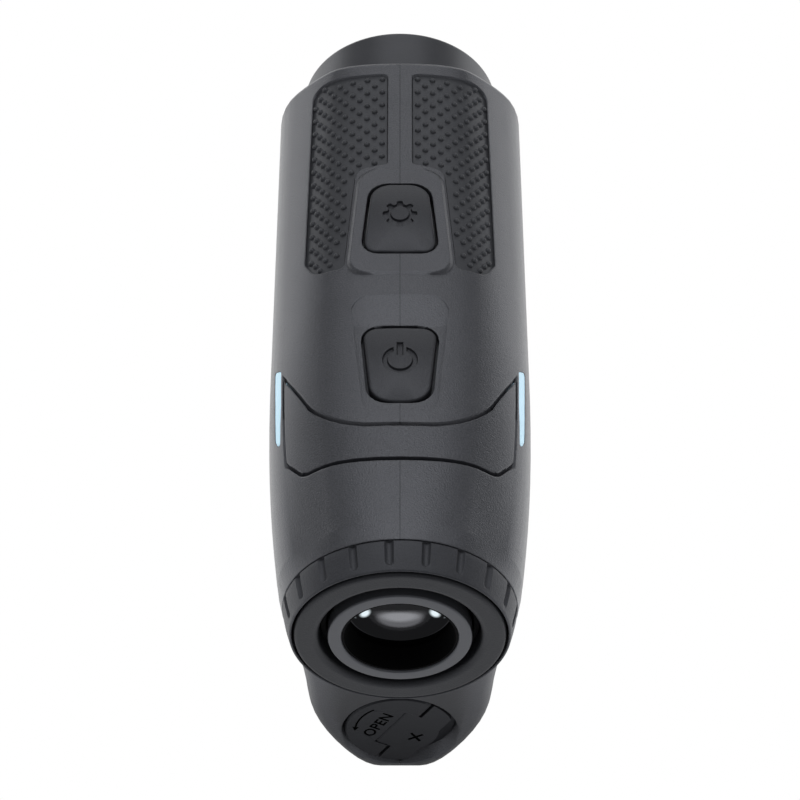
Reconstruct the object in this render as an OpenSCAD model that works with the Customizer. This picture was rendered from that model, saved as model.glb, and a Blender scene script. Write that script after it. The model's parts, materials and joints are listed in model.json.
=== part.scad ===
// Handheld laser rangefinder: a moulded two-half housing round a straight monocular,
// a laser emitter below it, and a cylindrical cell behind a quarter-turn door.
// Frame: +Z up, +Y towards the target, origin under the middle of the flat underside.
// Inside the modules, d is a distance ahead of the eyecup's face and z a height above the optical axis.

/* [Body] */
// Length from the eyecup's rear face to the objective hood's rim
overall_l = 114.5; // [112:0.5:118]
// Width across the housing's sides
body_w = 41; // [40:0.5:43]
// Height of the optical axis above the underside
axis_h = 49; // [48.5:0.5:52]
// Height of the housing's crown above the optical axis
crown_h = 18.5; // [18.3:0.1:19.5]
// Wall thickness of the housing
wall = 1.9; // [1.7:0.1:2.1]

/* [Eyepiece] */
// Outer radius of the ribbed dioptre ring where it meets the housing
dioptre_r = 17.5; // [17.3:0.1:17.7]
// Outer radius of the eyecup
eyecup_r = 15.8; // [15.5:0.1:15.9]
// Number of flutes round the dioptre ring
flute_count = 20; // [12:1:28]
// How far the eyecup twists out
eyecup_travel = 5; // [3:0.5:6]

/* [Buttons] */
// Length of each button along the housing
button_l = 14.7; // [14:0.1:15.2]
// Width of a button's wide end
button_wide = 11.8; // [11:0.1:12]
// Width of a button's narrow end
button_narrow = 9.1; // [8:0.1:9.6]
// Travel of a button
button_travel = 0.6; // [0.4:0.1:0.6]

/* [Battery] */
// Height of the battery's axis below the optical axis
cell_drop = 37; // [36.5:0.1:37.4]
// Radius of the cell
cell_r = 7.8; // [7.2:0.1:7.9]
// Length of the cell with its nub
cell_l = 26.4; // [25:0.1:26.6]
// Radius of the battery door
door_r = 9.1; // [9:0.05:9.2]
// Lean of the door tab's hinge line from upright
tab_lean = 30.8; // [0:0.1:45]

/* [Front] */
// Outer radius of the objective hood's rim
hood_r = 16.7; // [16.4:0.1:17]
// Height of the emitter's axis below the optical axis
emitter_drop = 32.5; // [32:0.1:33]
// Radius of the tripod socket's bore
tripod_r = 3.2; // [3:0.05:3.4]

/* [Hidden] */
$fn = 64;

half_w = body_w / 2;
face_d = 8;           // the lower housing's rear face
front_d = 105.5;      // the housing's front face
hip_d = 46;           // where the sides start to draw in towards the eyepiece
rear_round = 2.5;     // radius of the housing's rear edges
front_round = 1.2;    // radius of its front edges
seam = 0.03;          // each half stops this far from the middle plane
gap = 0.1;            // clearance round a seated trim piece
groove = 0.5;         // width of the dark line round the saddle band
collar_d = 5.2;       // rear face of the housing's eyepiece collar
well_deep = 0.8;      // depth of the well round the power button
trim_deep = 1.2;      // depth of the pad, band and accent pockets
steps = 5;            // facets along each arc of the housing's outline
plunger = 3;          // diameter of a switch's plunger

function ahead(d) = d - overall_l / 2;          // y of a place at distance d
function middle(a, b) = (a + b) / 2;
function unit(v) = v / norm(v);
function outward(v) = [-v[1], v[0]] / norm(v);

// --- places ---------------------------------------------------------------------------
// A child's +Z points ahead, along the optical axis, from distance d.
module at(d, z = 0) translate([0, ahead(d), axis_h + z]) rotate([-90, 0, 0]) children();
// A child drawn as it is seen from behind: x to the right, y up, and +Z towards the user.
module seen_from_behind(d, z = 0) translate([0, ahead(d), axis_h + z]) rotate([90, 0, 0]) children();
// A 2D child in [x, d], raised from z_low to z_high.
module plan(z_low, z_high)
    translate([0, ahead(0), axis_h + z_low]) linear_extrude(z_high - z_low) children();
// A 2D child in [d, z], raised from x_low to x_high.
module elevation(x_low, x_high)
    translate([x_low, ahead(0), axis_h]) rotate([90, 0, 90]) linear_extrude(x_high - x_low) children();
module turned(points, z = 0) at(0, z) rotate_extrude() polygon(points);
module rod(d_low, d_high, r, z = 0) at(d_low, z) cylinder(r = r, h = d_high - d_low);
module tube(d_low, d_high, r_out, r_in, z = 0)
    turned([[r_in, d_low], [r_out, d_low], [r_out, d_high], [r_in, d_high]], z);
module block(x, d, z)
    translate([x[0], ahead(d[0]), axis_h + z[0]]) cube([x[1] - x[0], d[1] - d[0], z[1] - z[0]]);

// --- outlines with rounded corners ------------------------------------------------------
function arc(c, s, e, n) =
    let (a = atan2(s[1] - c[1], s[0] - c[0]), b = atan2(e[1] - c[1], e[0] - c[0]),
         turn = b - a > 180 ? b - a - 360 : b - a < -180 ? b - a + 360 : b - a)
    [for (i = [0 : n]) c + norm(s - c) * [cos(a + turn * i / n), sin(a + turn * i / n)]];
function rounded(p, r, n = 5) =
    [for (i = [0 : len(p) - 1])
        let (q = p[i], a = unit(p[(i + len(p) - 1) % len(p)] - q), b = unit(p[(i + 1) % len(p)] - q),
             h = acos(a * b) / 2, c = q + unit(a + b) * r[i] / sin(h))
        each arc(c, q + a * r[i] / tan(h), q + b * r[i] / tan(h), n)];
function trapezoid(d, w, grow) =
    [[-w[0] / 2 - grow, d[0] - grow], [w[0] / 2 + grow, d[0] - grow],
     [w[1] / 2 + grow, d[1] + grow], [-w[1] / 2 - grow, d[1] + grow]];

// --- the housing's skin -------------------------------------------------------------------
// Corners of the half outline, from the crown round to the underside, about the optical axis.
outline_mid = [[9, crown_h], [half_w - 4.3, crown_h - 3.7], [half_w, 8.2], [half_w, -3],
               [half_w - 4, -22], [half_w - 6, -36], [12.4, -axis_h], [0, -axis_h]];
outline_rear = [[7.4, crown_h - 0.6], [half_w - 7.6, crown_h - 5.6], [half_w - 2.2, 7.4],
                [half_w - 2.2, -5], [half_w - 5.8, -22], [half_w - 6.2, -35], [6.3, -axis_h],
                [0, -axis_h]];
outline_front = [[9, crown_h], [half_w - 5.9, crown_h - 3.8], [half_w + 0.2, 8.1], [half_w - 0.3, -3],
                 [half_w - 3.4, -22], [half_w - 4.6, -36], [13, -axis_h], [0, -axis_h]];
last_t = len(outline_mid) - 1;

function outline_at(d) =
    let (rear = d < hip_d ? pow((hip_d - d) / (hip_d - face_d), 2.3) : 0,
         front = d > hip_d ? (d - hip_d) / (front_d - hip_d) : 0)
    outline_mid + rear * (outline_rear - outline_mid) + front * (outline_front - outline_mid);
// The skin is a chain of parabolas: arc i runs between the middles of the legs beside corner i.
function leg(p, i) = i == 0 ? [0, p[0][1]] : middle(p[i - 1], p[i]);
function arc_point(p, i, u) = (1 - u) * (1 - u) * leg(p, i) + 2 * u * (1 - u) * p[i] + u * u * leg(p, i + 1);
function arc_slope(p, i, u) = (1 - u) * (p[i] - leg(p, i)) + u * (leg(p, i + 1) - p[i]);
// The point at t on the outline of the section at d, moved off outwards. A t below 0 is on the left.
function skin2(d, t, off) =
    let (a = abs(t), i = min(floor(a), last_t - 1), u = a - i, p = outline_at(d),
         q = arc_point(p, i, u) + off * outward(arc_slope(p, i, u)))
    [sign(t) * q[0], q[1]];
function skin(d, t, off) = let (q = skin2(d, t, off)) [q[0], ahead(d), axis_h + q[1]];
// Half width of the skin at a height below the shoulder.
function side_x(d, z) = lookup(z, [for (t = [2 : 0.25 : last_t]) let (q = skin2(d, t, 0)) [q[1], q[0]]]);

function quad(a, b, c, e) = [[a, b, c], [a, c, e]];
// A solid through closed rings of points, each with as many as the next.
module loft(rings) {
    n = len(rings[0]);
    last = (len(rings) - 1) * n;
    polyhedron(
        points = [for (ring = rings) each ring],
        faces = [[for (j = [0 : n - 1]) j],
                 for (i = [0 : len(rings) - 2]) for (j = [0 : n - 1])
                     let (k = (j + 1) % n, a = i * n)
                     each quad(a + j, a + n + j, a + n + k, a + k),
                 [for (j = [n - 1 : -1 : 0]) last + j]]);
}
// A slab that follows the skin over a range of d and t, between two offsets. Its floor may change with d.
module patch(ds, ts, off_low, off_high) {
    cols = len(ts);
    half = len(ds) * cols;
    function at_point(i, j, k) = k * half + i * cols + j;
    polyhedron(
        points = [for (k = [0, 1]) for (i = [0 : len(ds) - 1]) for (t = ts)
                      skin(ds[i], t, k == 1 ? off_high : is_list(off_low) ? off_low[i] : off_low)],
        faces = [for (i = [0 : len(ds) - 2]) for (j = [0 : cols - 2])
                     for (k = [0, 1])
                         let (a = at_point(i, j, k), b = at_point(i + 1, j, k),
                              c = at_point(i + 1, j + 1, k), e = at_point(i, j + 1, k))
                         each k == 1 ? quad(a, b, c, e) : quad(e, c, b, a),
                 for (i = [0 : len(ds) - 2])
                     each quad(at_point(i, 0, 0), at_point(i + 1, 0, 0),
                               at_point(i + 1, 0, 1), at_point(i, 0, 1)),
                 for (i = [0 : len(ds) - 2])
                     each quad(at_point(i + 1, cols - 1, 0), at_point(i, cols - 1, 0),
                               at_point(i, cols - 1, 1), at_point(i + 1, cols - 1, 1)),
                 for (j = [0 : cols - 2])
                     each quad(at_point(0, j + 1, 0), at_point(0, j, 0),
                               at_point(0, j, 1), at_point(0, j + 1, 1)),
                 for (j = [0 : cols - 2])
                     each quad(at_point(len(ds) - 1, j, 0), at_point(len(ds) - 1, j + 1, 0),
                               at_point(len(ds) - 1, j + 1, 1), at_point(len(ds) - 1, j, 1))]);
}
function half_ring(d, off, x_in, n) =
    [[x_in, ahead(d), axis_h + skin2(d, 0, off)[1]],
     for (i = [1 : n * last_t]) skin(d, i / n, off),
     [x_in, ahead(d), axis_h + skin2(d, last_t, off)[1]]];

module outer_half()
    loft([for (a = [0 : 22.5 : 90])
              half_ring(face_d + rear_round * (1 - cos(a)), -rear_round * (1 - sin(a)), seam, steps),
          for (d = [14 : 4.5 : 41]) half_ring(d, 0, seam, steps),
          for (d = [hip_d, 75]) half_ring(d, 0, seam, steps),
          for (a = [90 : -30 : 0])
              half_ring(front_d - front_round * (1 - cos(a)), -front_round * (1 - sin(a)), seam, steps)]);
module inner_half()
    loft([for (d = [face_d + wall, 15, 22, 32, hip_d, front_d - wall]) half_ring(d, -wall, -1, 3)]);

// --- trim outlines --------------------------------------------------------------------------
mode_d = [61.1, 61.1 + button_l];
power_d = [31.3, 31.3 + button_l];
function mode_outline(g) =
    rounded(trapezoid(mode_d, [button_wide, button_narrow], g), [2.2 + g, 2.2 + g, 3 + g, 3 + g]);
function power_outline(g) =
    rounded(trapezoid(power_d, [button_narrow, button_wide], g), [3 + g, 3 + g, 2.4 + g, 2.4 + g]);
function pad_outline(g) =
    rounded([[2.1 - g, 102.2 + g], [2.1 - g, 81 - g], [7.2 - g, 80 - g], [8.9 - g, 58.4 - g],
             [13.4 + g / 2, 58.4 - g], [15 + g, 61.8 - g / 2], [14.45 + g, 102.2 + g]],
            [0.8, 0.6, 2.4, 1.2, 2, 1.8, 2.4]);
function band_outline(g) =
    let (rear_x = 14.2 + 0.525 * g, rear_side = 29 - 1.76 * g, front_x = 11.5 - 0.635 * g,
         front_side = 45.3 + 2.35 * g)
    rounded([[-rear_x, 19.85 - g], [rear_x, 19.85 - g], [20.5, rear_side], [20.5, front_side],
             [front_x, 26.1 + g], [-front_x, 26.1 + g], [-20.5, front_side], [-20.5, rear_side]],
            [2.2, 2.2, 0.4, 0.4, 11.5, 11.5, 0.4, 0.4], 8);
function accent_outline(g) =
    rounded([[44.1 + g, 9.1 - g], [42.6 + g, 11.2 + g], [36, 11.25 + g], [27.7 - g, 10.5 + g],
             [30 - g, 9.3 - g], [37, 9.38 - g]],
            [0.4, 1.2, 6, 0.35, 1.2, 8]);

module pad_prism(g) plan(8, 22) polygon(pad_outline(g));
module band_prism(g) plan(5, 22) polygon(band_outline(g));
module accent_prism(g) elevation(16, 23) polygon(accent_outline(g));
pad_patch_d = [55, 72, 88, 104];
band_patch_d = [18, 22, 26, 30, 34, 38, 42];
accent_patch_d = [26, 29, 32, 35, 38, 41, 45.5];
pad_t = [for (i = [0 : 9]) i / steps];
accent_t = [for (i = [8 : 14]) i / steps];
band_edge_t = 1.92;        // where the band ends on each side
groove_t = 0.045;          // the dark line's width there, in steps of t
function band_t(edge) = [for (i = [-8 : 8]) i * edge / 8];

// --- the housing halves -------------------------------------------------------------------
screw_places = [[24, -22], [98, -19], [48, -41], [66, -26]];     // [d, z] of each case screw
boss_r = 2.7;
module screw_bore(place, r, x_low, x_high)
    translate([x_low, ahead(place[0]), axis_h + place[1]]) rotate([0, 90, 0])
        cylinder(r = r, h = x_high - x_low);
module boss(place) screw_bore(place, boss_r, seam, side_x(place[0], place[1]) - 0.9);

insert_d = 61;        // the tripod insert's place along the underside
insert_r = 5.2;
insert_h = 9;
door_floor_d = 11.9;  // the ledge that the battery door's seal bears on
ledge = 1;            // thickness of that ledge

// The eyepiece collar: the housing's shoulders run on into a circle, which closes below the eyepiece.
function neck_ring(d) =
    let (w = min(1, (d - collar_d) / (face_d - collar_d)), r = dioptre_r + 0.15,
         sides = [for (i = [0 : 3.2 * steps])
                      let (q = skin2(d, i / steps, -0.03)) unit(q) * ((1 - w) * r + w * norm(q))],
         q = sides[len(sides) - 1], a = atan2(q[0], q[1]),
         under = [for (i = [1 : 7]) (norm(q) + (r - norm(q)) * min(1, i / 3)) *
                      [sin(a + (180 - a) * i / 7), cos(a + (180 - a) * i / 7)]])
    [for (p = concat(sides, under)) [max(p[0], seam), ahead(d), axis_h + p[1]]];
module half_collar() loft([for (d = [collar_d, face_d, face_d + rear_round, 14]) neck_ring(d)]);
module half_door_boss()
    at(0, -cell_drop) rotate([0, 0, -90]) rotate_extrude(angle = 180)
        polygon([[door_r + 0.3, face_d + 1], [door_r + 1.9, face_d + 1], [door_r + 1.9, door_floor_d + ledge],
                 [8.3, door_floor_d + ledge], [8.3, door_floor_d], [door_r + 0.3, door_floor_d]]);
module half_insert_boss()
    translate([seam, ahead(insert_d), 0.6]) rotate([0, 0, -90])
        rotate_extrude(angle = 180) square([insert_r + 1.8, insert_h]);
// The shallow well round the power button: a floor, and a ramp down to it from the front.
module power_well()
    intersection() {
        plan(12, 22) polygon(rounded(trapezoid([29, 52.3], [11.1, 15.9], 0), [2, 2, 3.2, 3.2]));
        patch([27, 46.2, 52.6, 53.5], [for (i = [-8 : 8]) i / 6], [-well_deep, -well_deep, 0.02, 0.02], 2);
    }
// The low plateau that carries the mode button.
module mode_plateau()
    hull() {
        plan(crown_h - 2.2, crown_h - 0.1)
            polygon(rounded(trapezoid([56.5, 79.9], [17.1, 13.7], 0), [3, 3, 4, 4]));
        plan(crown_h - 0.1, crown_h + 0.25)
            polygon(rounded(trapezoid([57, 79.4], [16.1, 12.7], 0), [2.6, 2.6, 3.6, 3.6]));
    }
module right_half(head_r) {
    difference() {
        union() {
            difference() {
                outer_half();
                inner_half();
            }
            half_collar();
            half_door_boss();
            half_insert_boss();
            intersection() {
                mode_plateau();
                block([seam, 20], [50, 85], [crown_h - 2, crown_h + 1]);
            }
            for (place = screw_places) boss(place);
        }
        rod(collar_d - 1, 8.4, 16.7);
        rod(collar_d - 1, 14.5, 16.1);
        rod(face_d - 1, door_floor_d, door_r + 0.3, -cell_drop);
        rod(face_d - 1, door_floor_d + ledge + 1, 8.3, -cell_drop);
        rod(front_d - 4, front_d + 1, 15.3);
        rod(front_d - 4, front_d + 1, 9.5, -emitter_drop);
        translate([0, ahead(insert_d), -1]) cylinder(r = insert_r, h = insert_h + 3);
        power_well();
        plan(12, 22) polygon(power_outline(0.4));
        plan(12, 22) polygon(mode_outline(0.4));
        intersection() {
            pad_prism(gap);
            patch(pad_patch_d, pad_t, -trim_deep, 2);
        }
        intersection() {
            band_prism(groove);
            patch(band_patch_d, band_t(band_edge_t + groove_t), -trim_deep, 2);
        }
        intersection() {
            accent_prism(gap);
            patch(accent_patch_d, accent_t, -0.9, 2);
        }
        for (place = screw_places) {
            screw_bore(place, 1.1, -1, side_x(place[0], place[1]) - (head_r > 0 ? 0 : 3));
            if (head_r > 0) screw_bore(place, head_r, side_x(place[0], place[1]) - 2.4, 24);
        }
    }
}
module left_housing() color("dimgray") mirror([1, 0, 0]) right_half(2.2);
module right_housing() color("dimgray") right_half(0);
module top_band() color("#404144") intersection() {
    band_prism(0);
    patch(band_patch_d, band_t(band_edge_t), -trim_deep + 0.1, -0.02);
}
module right_accent() color("lightblue") intersection() {
    accent_prism(0);
    patch(accent_patch_d, accent_t, -0.8, -0.05);
}
module left_accent() color("lightblue") mirror([1, 0, 0]) right_accent();
module right_grip_pad() color("#38393c") intersection() {
    pad_prism(0);
    patch(pad_patch_d, pad_t, -trim_deep + 0.1, -0.45);
}
module left_grip_pad() color("#38393c") mirror([1, 0, 0]) right_grip_pad();
module housing_screws() color("silver")
    for (place = screw_places) {
        x = side_x(place[0], place[1]);
        difference() {
            mirror([1, 0, 0]) union() {
                screw_bore(place, 2, x - 2.3, x - 0.7);
                screw_bore(place, 1, -x + 5, x - 2.3);
            }
            mirror([1, 0, 0]) screw_bore(place, 0.8, x - 1.5, x);
        }
    }
module tripod_insert() color("goldenrod")
    translate([0, ahead(insert_d), 0.3]) difference() {
        union() {
            cylinder(r = insert_r - 0.05, h = insert_h - 1);
            translate([0, 0, insert_h - 1]) cylinder(r = insert_r - 0.5, h = 0.8);
        }
        translate([0, 0, -1]) cylinder(r = tripod_r, h = insert_h - 0.5);
    }

// --- buttons -----------------------------------------------------------------------------------
flange_low = 15.3;    // underside of a button's flange, above the optical axis
flange_high = 15.95;
module button(outline, flange, mid_d, top_z, dome_r)
    color("#3c3d40") union() {
        intersection() {
            plan(flange_low, top_z + 1) polygon(outline);
            translate([0, ahead(mid_d), axis_h + top_z - dome_r]) sphere(r = dome_r, $fn = 96);
        }
        plan(flange_low, flange_high) polygon(flange);
    }
module mode_button()
    button(mode_outline(0), mode_outline(0.9), mode_d[0] + button_l * 0.55, crown_h + 1.05, 44);
module power_button()
    button(power_outline(0), power_outline(0.9), power_d[0] + button_l * 0.55, crown_h - 0.15, 44);

// --- objective and front ------------------------------------------------------------------------
module objective_hood() color("#3a3b3e")
    turned([[15.2, 98.5], [13.6, 98.5], [14.6, 107], [15.5, overall_l - 0.6], [16.1, overall_l],
            [hood_r - 0.3, overall_l], [hood_r, overall_l - 0.4], [17.25, front_d + 0.1],
            [15.2, front_d + 0.1]]);
module objective_retainer() color("black")
    turned([[13.5, 96.1], [12.3, 96.1], [13.1, 98.4], [13.5, 98.4]]);
module lens(d, r, thick, rear_r, front_r, z = 0)
    color("lightsteelblue") at(d, z) intersection() {
        cylinder(r = r, h = thick);
        translate([0, 0, rear_r]) sphere(r = rear_r, $fn = 128);
        translate([0, 0, thick - front_r]) sphere(r = front_r, $fn = 128);
    }
module objective_front_lens() lens(91, 13.5, 5, 90, 42);
module objective_rear_lens() color("lightsteelblue") at(86) intersection() {
    cylinder(r = 13.5, h = 4);
    translate([0, 0, -48]) sphere(r = 52, $fn = 128);
}
module optical_chassis() color("#2b2b2d")
    difference() {
        union() {
            tube(16, 31, 12.4, 10.8);
            block([-13, 13], [30, 79], [-12, 11.5]);
            tube(78, 98.4, 14.9, 13.6);
            rod(78, 80, 14.9);
        }
        rod(15, 34, 10.8);
        block([-11.5, 11.5], [32, 77.5], [-10.5, 10]);
        rod(77, 82, 10.4);
        rod(80, 98, 12.6);
        rod(85.9, 99, 13.6);
        translate([0, ahead(58), axis_h - 13]) cylinder(r = 3.1, h = 4);
    }
module erecting_prism() color("lightcyan")
    elevation(-8, 8) polygon([[60, -8], [72, -8], [72, 8], [66, 8.6], [56.5, -1]]);
module roof_prism() color("lightcyan")
    elevation(-8, 8) polygon([[58.6, -8], [55.4, -1.6], [64.6, 8.6], [44, 8.6], [44, -8]]);
module display_frame() color("black")
    difference() {
        block([-11.3, 11.3], [36, 39.5], [-10.3, 9.8]);
        block([-7, 7], [35, 41], [-6, 6]);
        block([-8.1, 8.1], [37, 38.6], [-7.1, 7.1]);
    }
module display_glass() color("lightcyan") block([-8, 8], [37.1, 38.5], [-7, 7]);

// --- eyepiece ----------------------------------------------------------------------------------
module ocular_ring() color("#555659")
    turned([[8.7, 0.35], [9, 0], [10.4, 0], [10.74, 0.35], [10.74, 2.4], [8.7, 2.4]]);
module eyepiece_barrel() color("#161617")
    turned([[8.35, 0.3], [8.65, 0.3], [8.65, 2.5], [10.7, 2.5], [10.7, 23.5], [8.6, 23.5], [8.6, 22.5],
            [8.05, 22.5], [8.05, 4], [7.55, 3.8]]);
module eye_lens() lens(2.6, 7.95, 6.2, 22, 40);
module lens_spacer() color("black") turned([[7.9, 8.9], [7.2, 9.2], [7.2, 14.6], [7.9, 14.9]]);
module field_lens() lens(15, 7.95, 5, 34, 24);
module flute(turn)
    at(0) rotate([0, 0, turn]) translate([17.05, 0, 1.75]) rotate([0, 10.5, 0]) {
        sphere(r = 0.65, $fn = 24);
        cylinder(r = 0.65, h = 4.4, $fn = 24);
    }
module dioptre_ring() color("#3d3e41")
    difference() {
        turned([[16.1, 0.5], [16.3, 0.3], [16.5, 0.5], [17.2, 3], [dioptre_r, 4.6], [dioptre_r, 5.1],
                [16.6, 5.1], [16.6, 8.2], [16.1, 8.2]]);
        for (i = [0 : flute_count - 1]) flute(i * 360 / flute_count + 5.2 - 90);
    }
module eyecup() color("#333437")
    turned([[12.7, 0], [15.1, 0], [15.55, 0.15], [eyecup_r, 0.6], [eyecup_r, 8.6], [13.4, 8.6], [13.4, 7.2],
            [12.1, 7.2], [12.1, 1.1]]);
module eyecup_cam() color("black")
    difference() {
        tube(2.6, 14.6, 11.8, 11.05);
        for (i = [0 : 2])      // the slots that the eyecup's guide pins run in
            at(9.5) rotate([0, 0, 120 * i]) rotate([0, 90, 0]) translate([0, 0, 10]) cylinder(r = 0.7, h = 3);
    }

// --- laser ---------------------------------------------------------------------------------------
module emitter_bezel() color("#222325")
    turned([[8.3, 102.9], [9.4, 102.9], [9.4, front_d], [10.6, front_d], [10.6, front_d + 0.5],
            [10.2, front_d + 0.8], [8.9, front_d + 0.8], [8.3, front_d - 0.3]], -emitter_drop);
module emitter_barrel() color("#2b2b2d")
    turned([[8.2, 98], [8.2, 102.8], [9.3, 102.8], [9.3, 73], [3.2, 73], [3.2, 74.5], [7.4, 74.5], [7.4, 97],
            [8.2, 97]], -emitter_drop);
module emitter_lens() lens(98, 8.1, 4, 60, 26, -emitter_drop);
module laser_diode() color("silver") {
    rod(71.4, 72.8, 4.5, -emitter_drop);
    rod(72.8, 76.2, 2.8, -emitter_drop);
}
module diode_board() color("darkgreen") rod(70, 71.3, 8.2, -emitter_drop);
module detector() color("silver")
    translate([0, ahead(58), axis_h]) union() {
        translate([0, 0, -13.2]) cylinder(r = 2.7, h = 3.4);
        translate([0, 0, -14.2]) cylinder(r = 4.2, h = 1);
    }

// --- electronics ----------------------------------------------------------------------------------
module main_board() color("darkgreen") block([-12, 12], [44, 92], [-17.8, -16.6]);
module board_parts() color("black") {
    block([-7, 1], [50, 58], [-19.3, -17.9]);
    block([3.5, 9], [52, 57], [-19.1, -17.9]);
    block([-9, -3], [64, 72], [-19.5, -17.9]);
    for (i = [0 : 3]) block([1.5 + 2.2 * i, 2.9 + 2.2 * i], [64, 66.6], [-18.8, -17.9]);
    translate([5, ahead(78), axis_h - 20.6]) cylinder(r = 2.6, h = 2.7);
}
module button_board() color("darkgreen") block([-6, 6], [33, 75], [12, 12.8]);
module button_switches() color("silver")
    for (d = [power_d[0] + button_l / 2, mode_d[0] + button_l / 2]) {
        block([-3, 3], [d - 3, d + 3], [12.85, 14.1]);
        translate([0, ahead(d), axis_h + 14.1]) cylinder(r = plunger / 2, h = 0.5);
    }
module board_flex() color("orange")
    translate([0, ahead(46), axis_h]) rotate([90, 0, 0]) linear_extrude(6, center = true)
        polygon([[6.05, 12.6], [14.4, 12.6], [14.4, -17.5], [12.05, -17.5], [12.05, -17.2], [14.1, -17.2],
                 [14.1, 12.3], [6.05, 12.3]]);

// --- battery -------------------------------------------------------------------------------------
can_d = door_floor_d + ledge + 0.1;
module battery_tube() color("#2b2b2d")
    turned([[8.15, door_floor_d + ledge + 0.1], [9.3, door_floor_d + ledge + 0.1], [9.3, 41.2], [3, 41.2],
            [3, 40.2], [8.15, 40.2]], -cell_drop);
module battery_cell() color("gold") {
    rod(can_d, can_d + cell_l - 1, cell_r, -cell_drop);
    rod(can_d - 1, can_d, 3, -cell_drop);
}
module cell_spring() color("silver")
    turned([[6.2, 40.1], [6.2, 39.8], [5.6, 39.8], [3.2, can_d + cell_l - 0.9], [2.7, can_d + cell_l - 0.9],
            [5.1, 40.1]], -cell_drop);
module door_seal() color("black")
    tube(door_floor_d - 0.95, door_floor_d - 0.05, door_r - 0.1, 8.25, -cell_drop);

door_face_d = face_d + 0.15;       // the door's face lies just inside its recess
tab_pivot_x = -1.2;                // the tab's hinge line, across from the door's middle
tab_knuckle_r = 0.7;
pivot_deep = tab_knuckle_r + 0.1;  // depth of the hinge line under the door's face
tab_span = 4.9;                    // half length of the tab's knuckle
tongue_r = 6.45;
wing_x = [1.2, 5.7];               // the tab's wings, across from the middle
// The tab's frame: x runs away from its hinge line, y along it, z towards the user, z = 0 at the door's face.
module on_door() seen_from_behind(door_face_d, -cell_drop) rotate([0, 0, -tab_lean]) children();
module along_hinge(r, l)
    translate([tab_pivot_x, 0, -pivot_deep]) rotate([90, 0, 0]) cylinder(r = r, h = l, center = true);
module tab_shape(grow, wing_r) {
    intersection() {
        circle(r = tongue_r + grow);
        translate([tab_pivot_x, -tab_span - grow]) square([9, 2 * (tab_span + grow)]);
    }
    intersection() {
        circle(r = wing_r);
        translate([wing_x[0] - grow, -10]) square([wing_x[1] - wing_x[0] + grow, 20]);
    }
}
module battery_door() color("#2a2b2e")
    difference() {
        turned([[0, door_face_d], [door_r - 0.3, door_face_d], [door_r, door_face_d + 0.3],
                [door_r, door_floor_d - 1], [8.2, door_floor_d - 1], [8.2, door_floor_d + ledge],
                [6.6, door_floor_d + ledge], [6.6, door_floor_d - 1], [0, door_floor_d - 1]], -cell_drop);
        on_door() {
            translate([0, 0, -1.65]) linear_extrude(3) {
                tab_shape(0.1, 12);
                translate([0.55, -12]) square([1, 12 - tab_span]);
                translate([0.55, tab_span]) square([1, 12 - tab_span]);
            }
            // the finger recess beside the tongue
            translate([0, 0, -2.1]) linear_extrude(4) difference() {
                translate([wing_x[0] + 2, -12]) square([12, 24]);
                translate([-8, -12]) square([8 + 4.6, 24]);
            }
            along_hinge(tab_knuckle_r + 0.08, 2 * tab_span + 0.2);
            along_hinge(0.42, 13.2);
            translate([tab_pivot_x - 0.78, -tab_span - 0.1, -pivot_deep]) cube([1.6, 2 * tab_span + 0.2, 2]);
        }
    }
module door_tab() color("#303134")
    on_door() difference() {
        union() {
            intersection() {
                translate([0, 0, -1.45]) linear_extrude(1.35) tab_shape(0, door_r - 0.15);
                translate([tab_pivot_x, -12, -2]) cube([20, 24, 4]);
            }
            along_hinge(tab_knuckle_r, 2 * tab_span);
        }
        along_hinge(0.45, 20);
    }
module tab_pin() color("silver") on_door() along_hinge(0.4, 13);
module door_contact() color("silver")
    turned([[0, door_floor_d - 0.95], [5, door_floor_d - 0.95], [5, door_floor_d - 0.7],
            [2.2, door_floor_d - 0.7], [1.6, door_floor_d + 0.05], [0, door_floor_d + 0.05]], -cell_drop);

left_housing();
right_housing();
top_band();
left_accent();
right_accent();
left_grip_pad();
right_grip_pad();
power_button();
mode_button();
housing_screws();
tripod_insert();
objective_hood();
objective_retainer();
objective_front_lens();
objective_rear_lens();
optical_chassis();
erecting_prism();
roof_prism();
display_frame();
display_glass();
eyepiece_barrel();
ocular_ring();
eye_lens();
lens_spacer();
field_lens();
dioptre_ring();
eyecup();
eyecup_cam();
emitter_bezel();
emitter_barrel();
emitter_lens();
laser_diode();
diode_board();
detector();
main_board();
board_parts();
button_board();
button_switches();
board_flex();
battery_tube();
battery_cell();
cell_spring();
door_seal();
battery_door();
door_contact();
door_tab();
tab_pin();
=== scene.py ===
import bpy
import bmesh
import json
import math
from mathutils import Matrix, Vector
from mathutils.bvhtree import BVHTree

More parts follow.
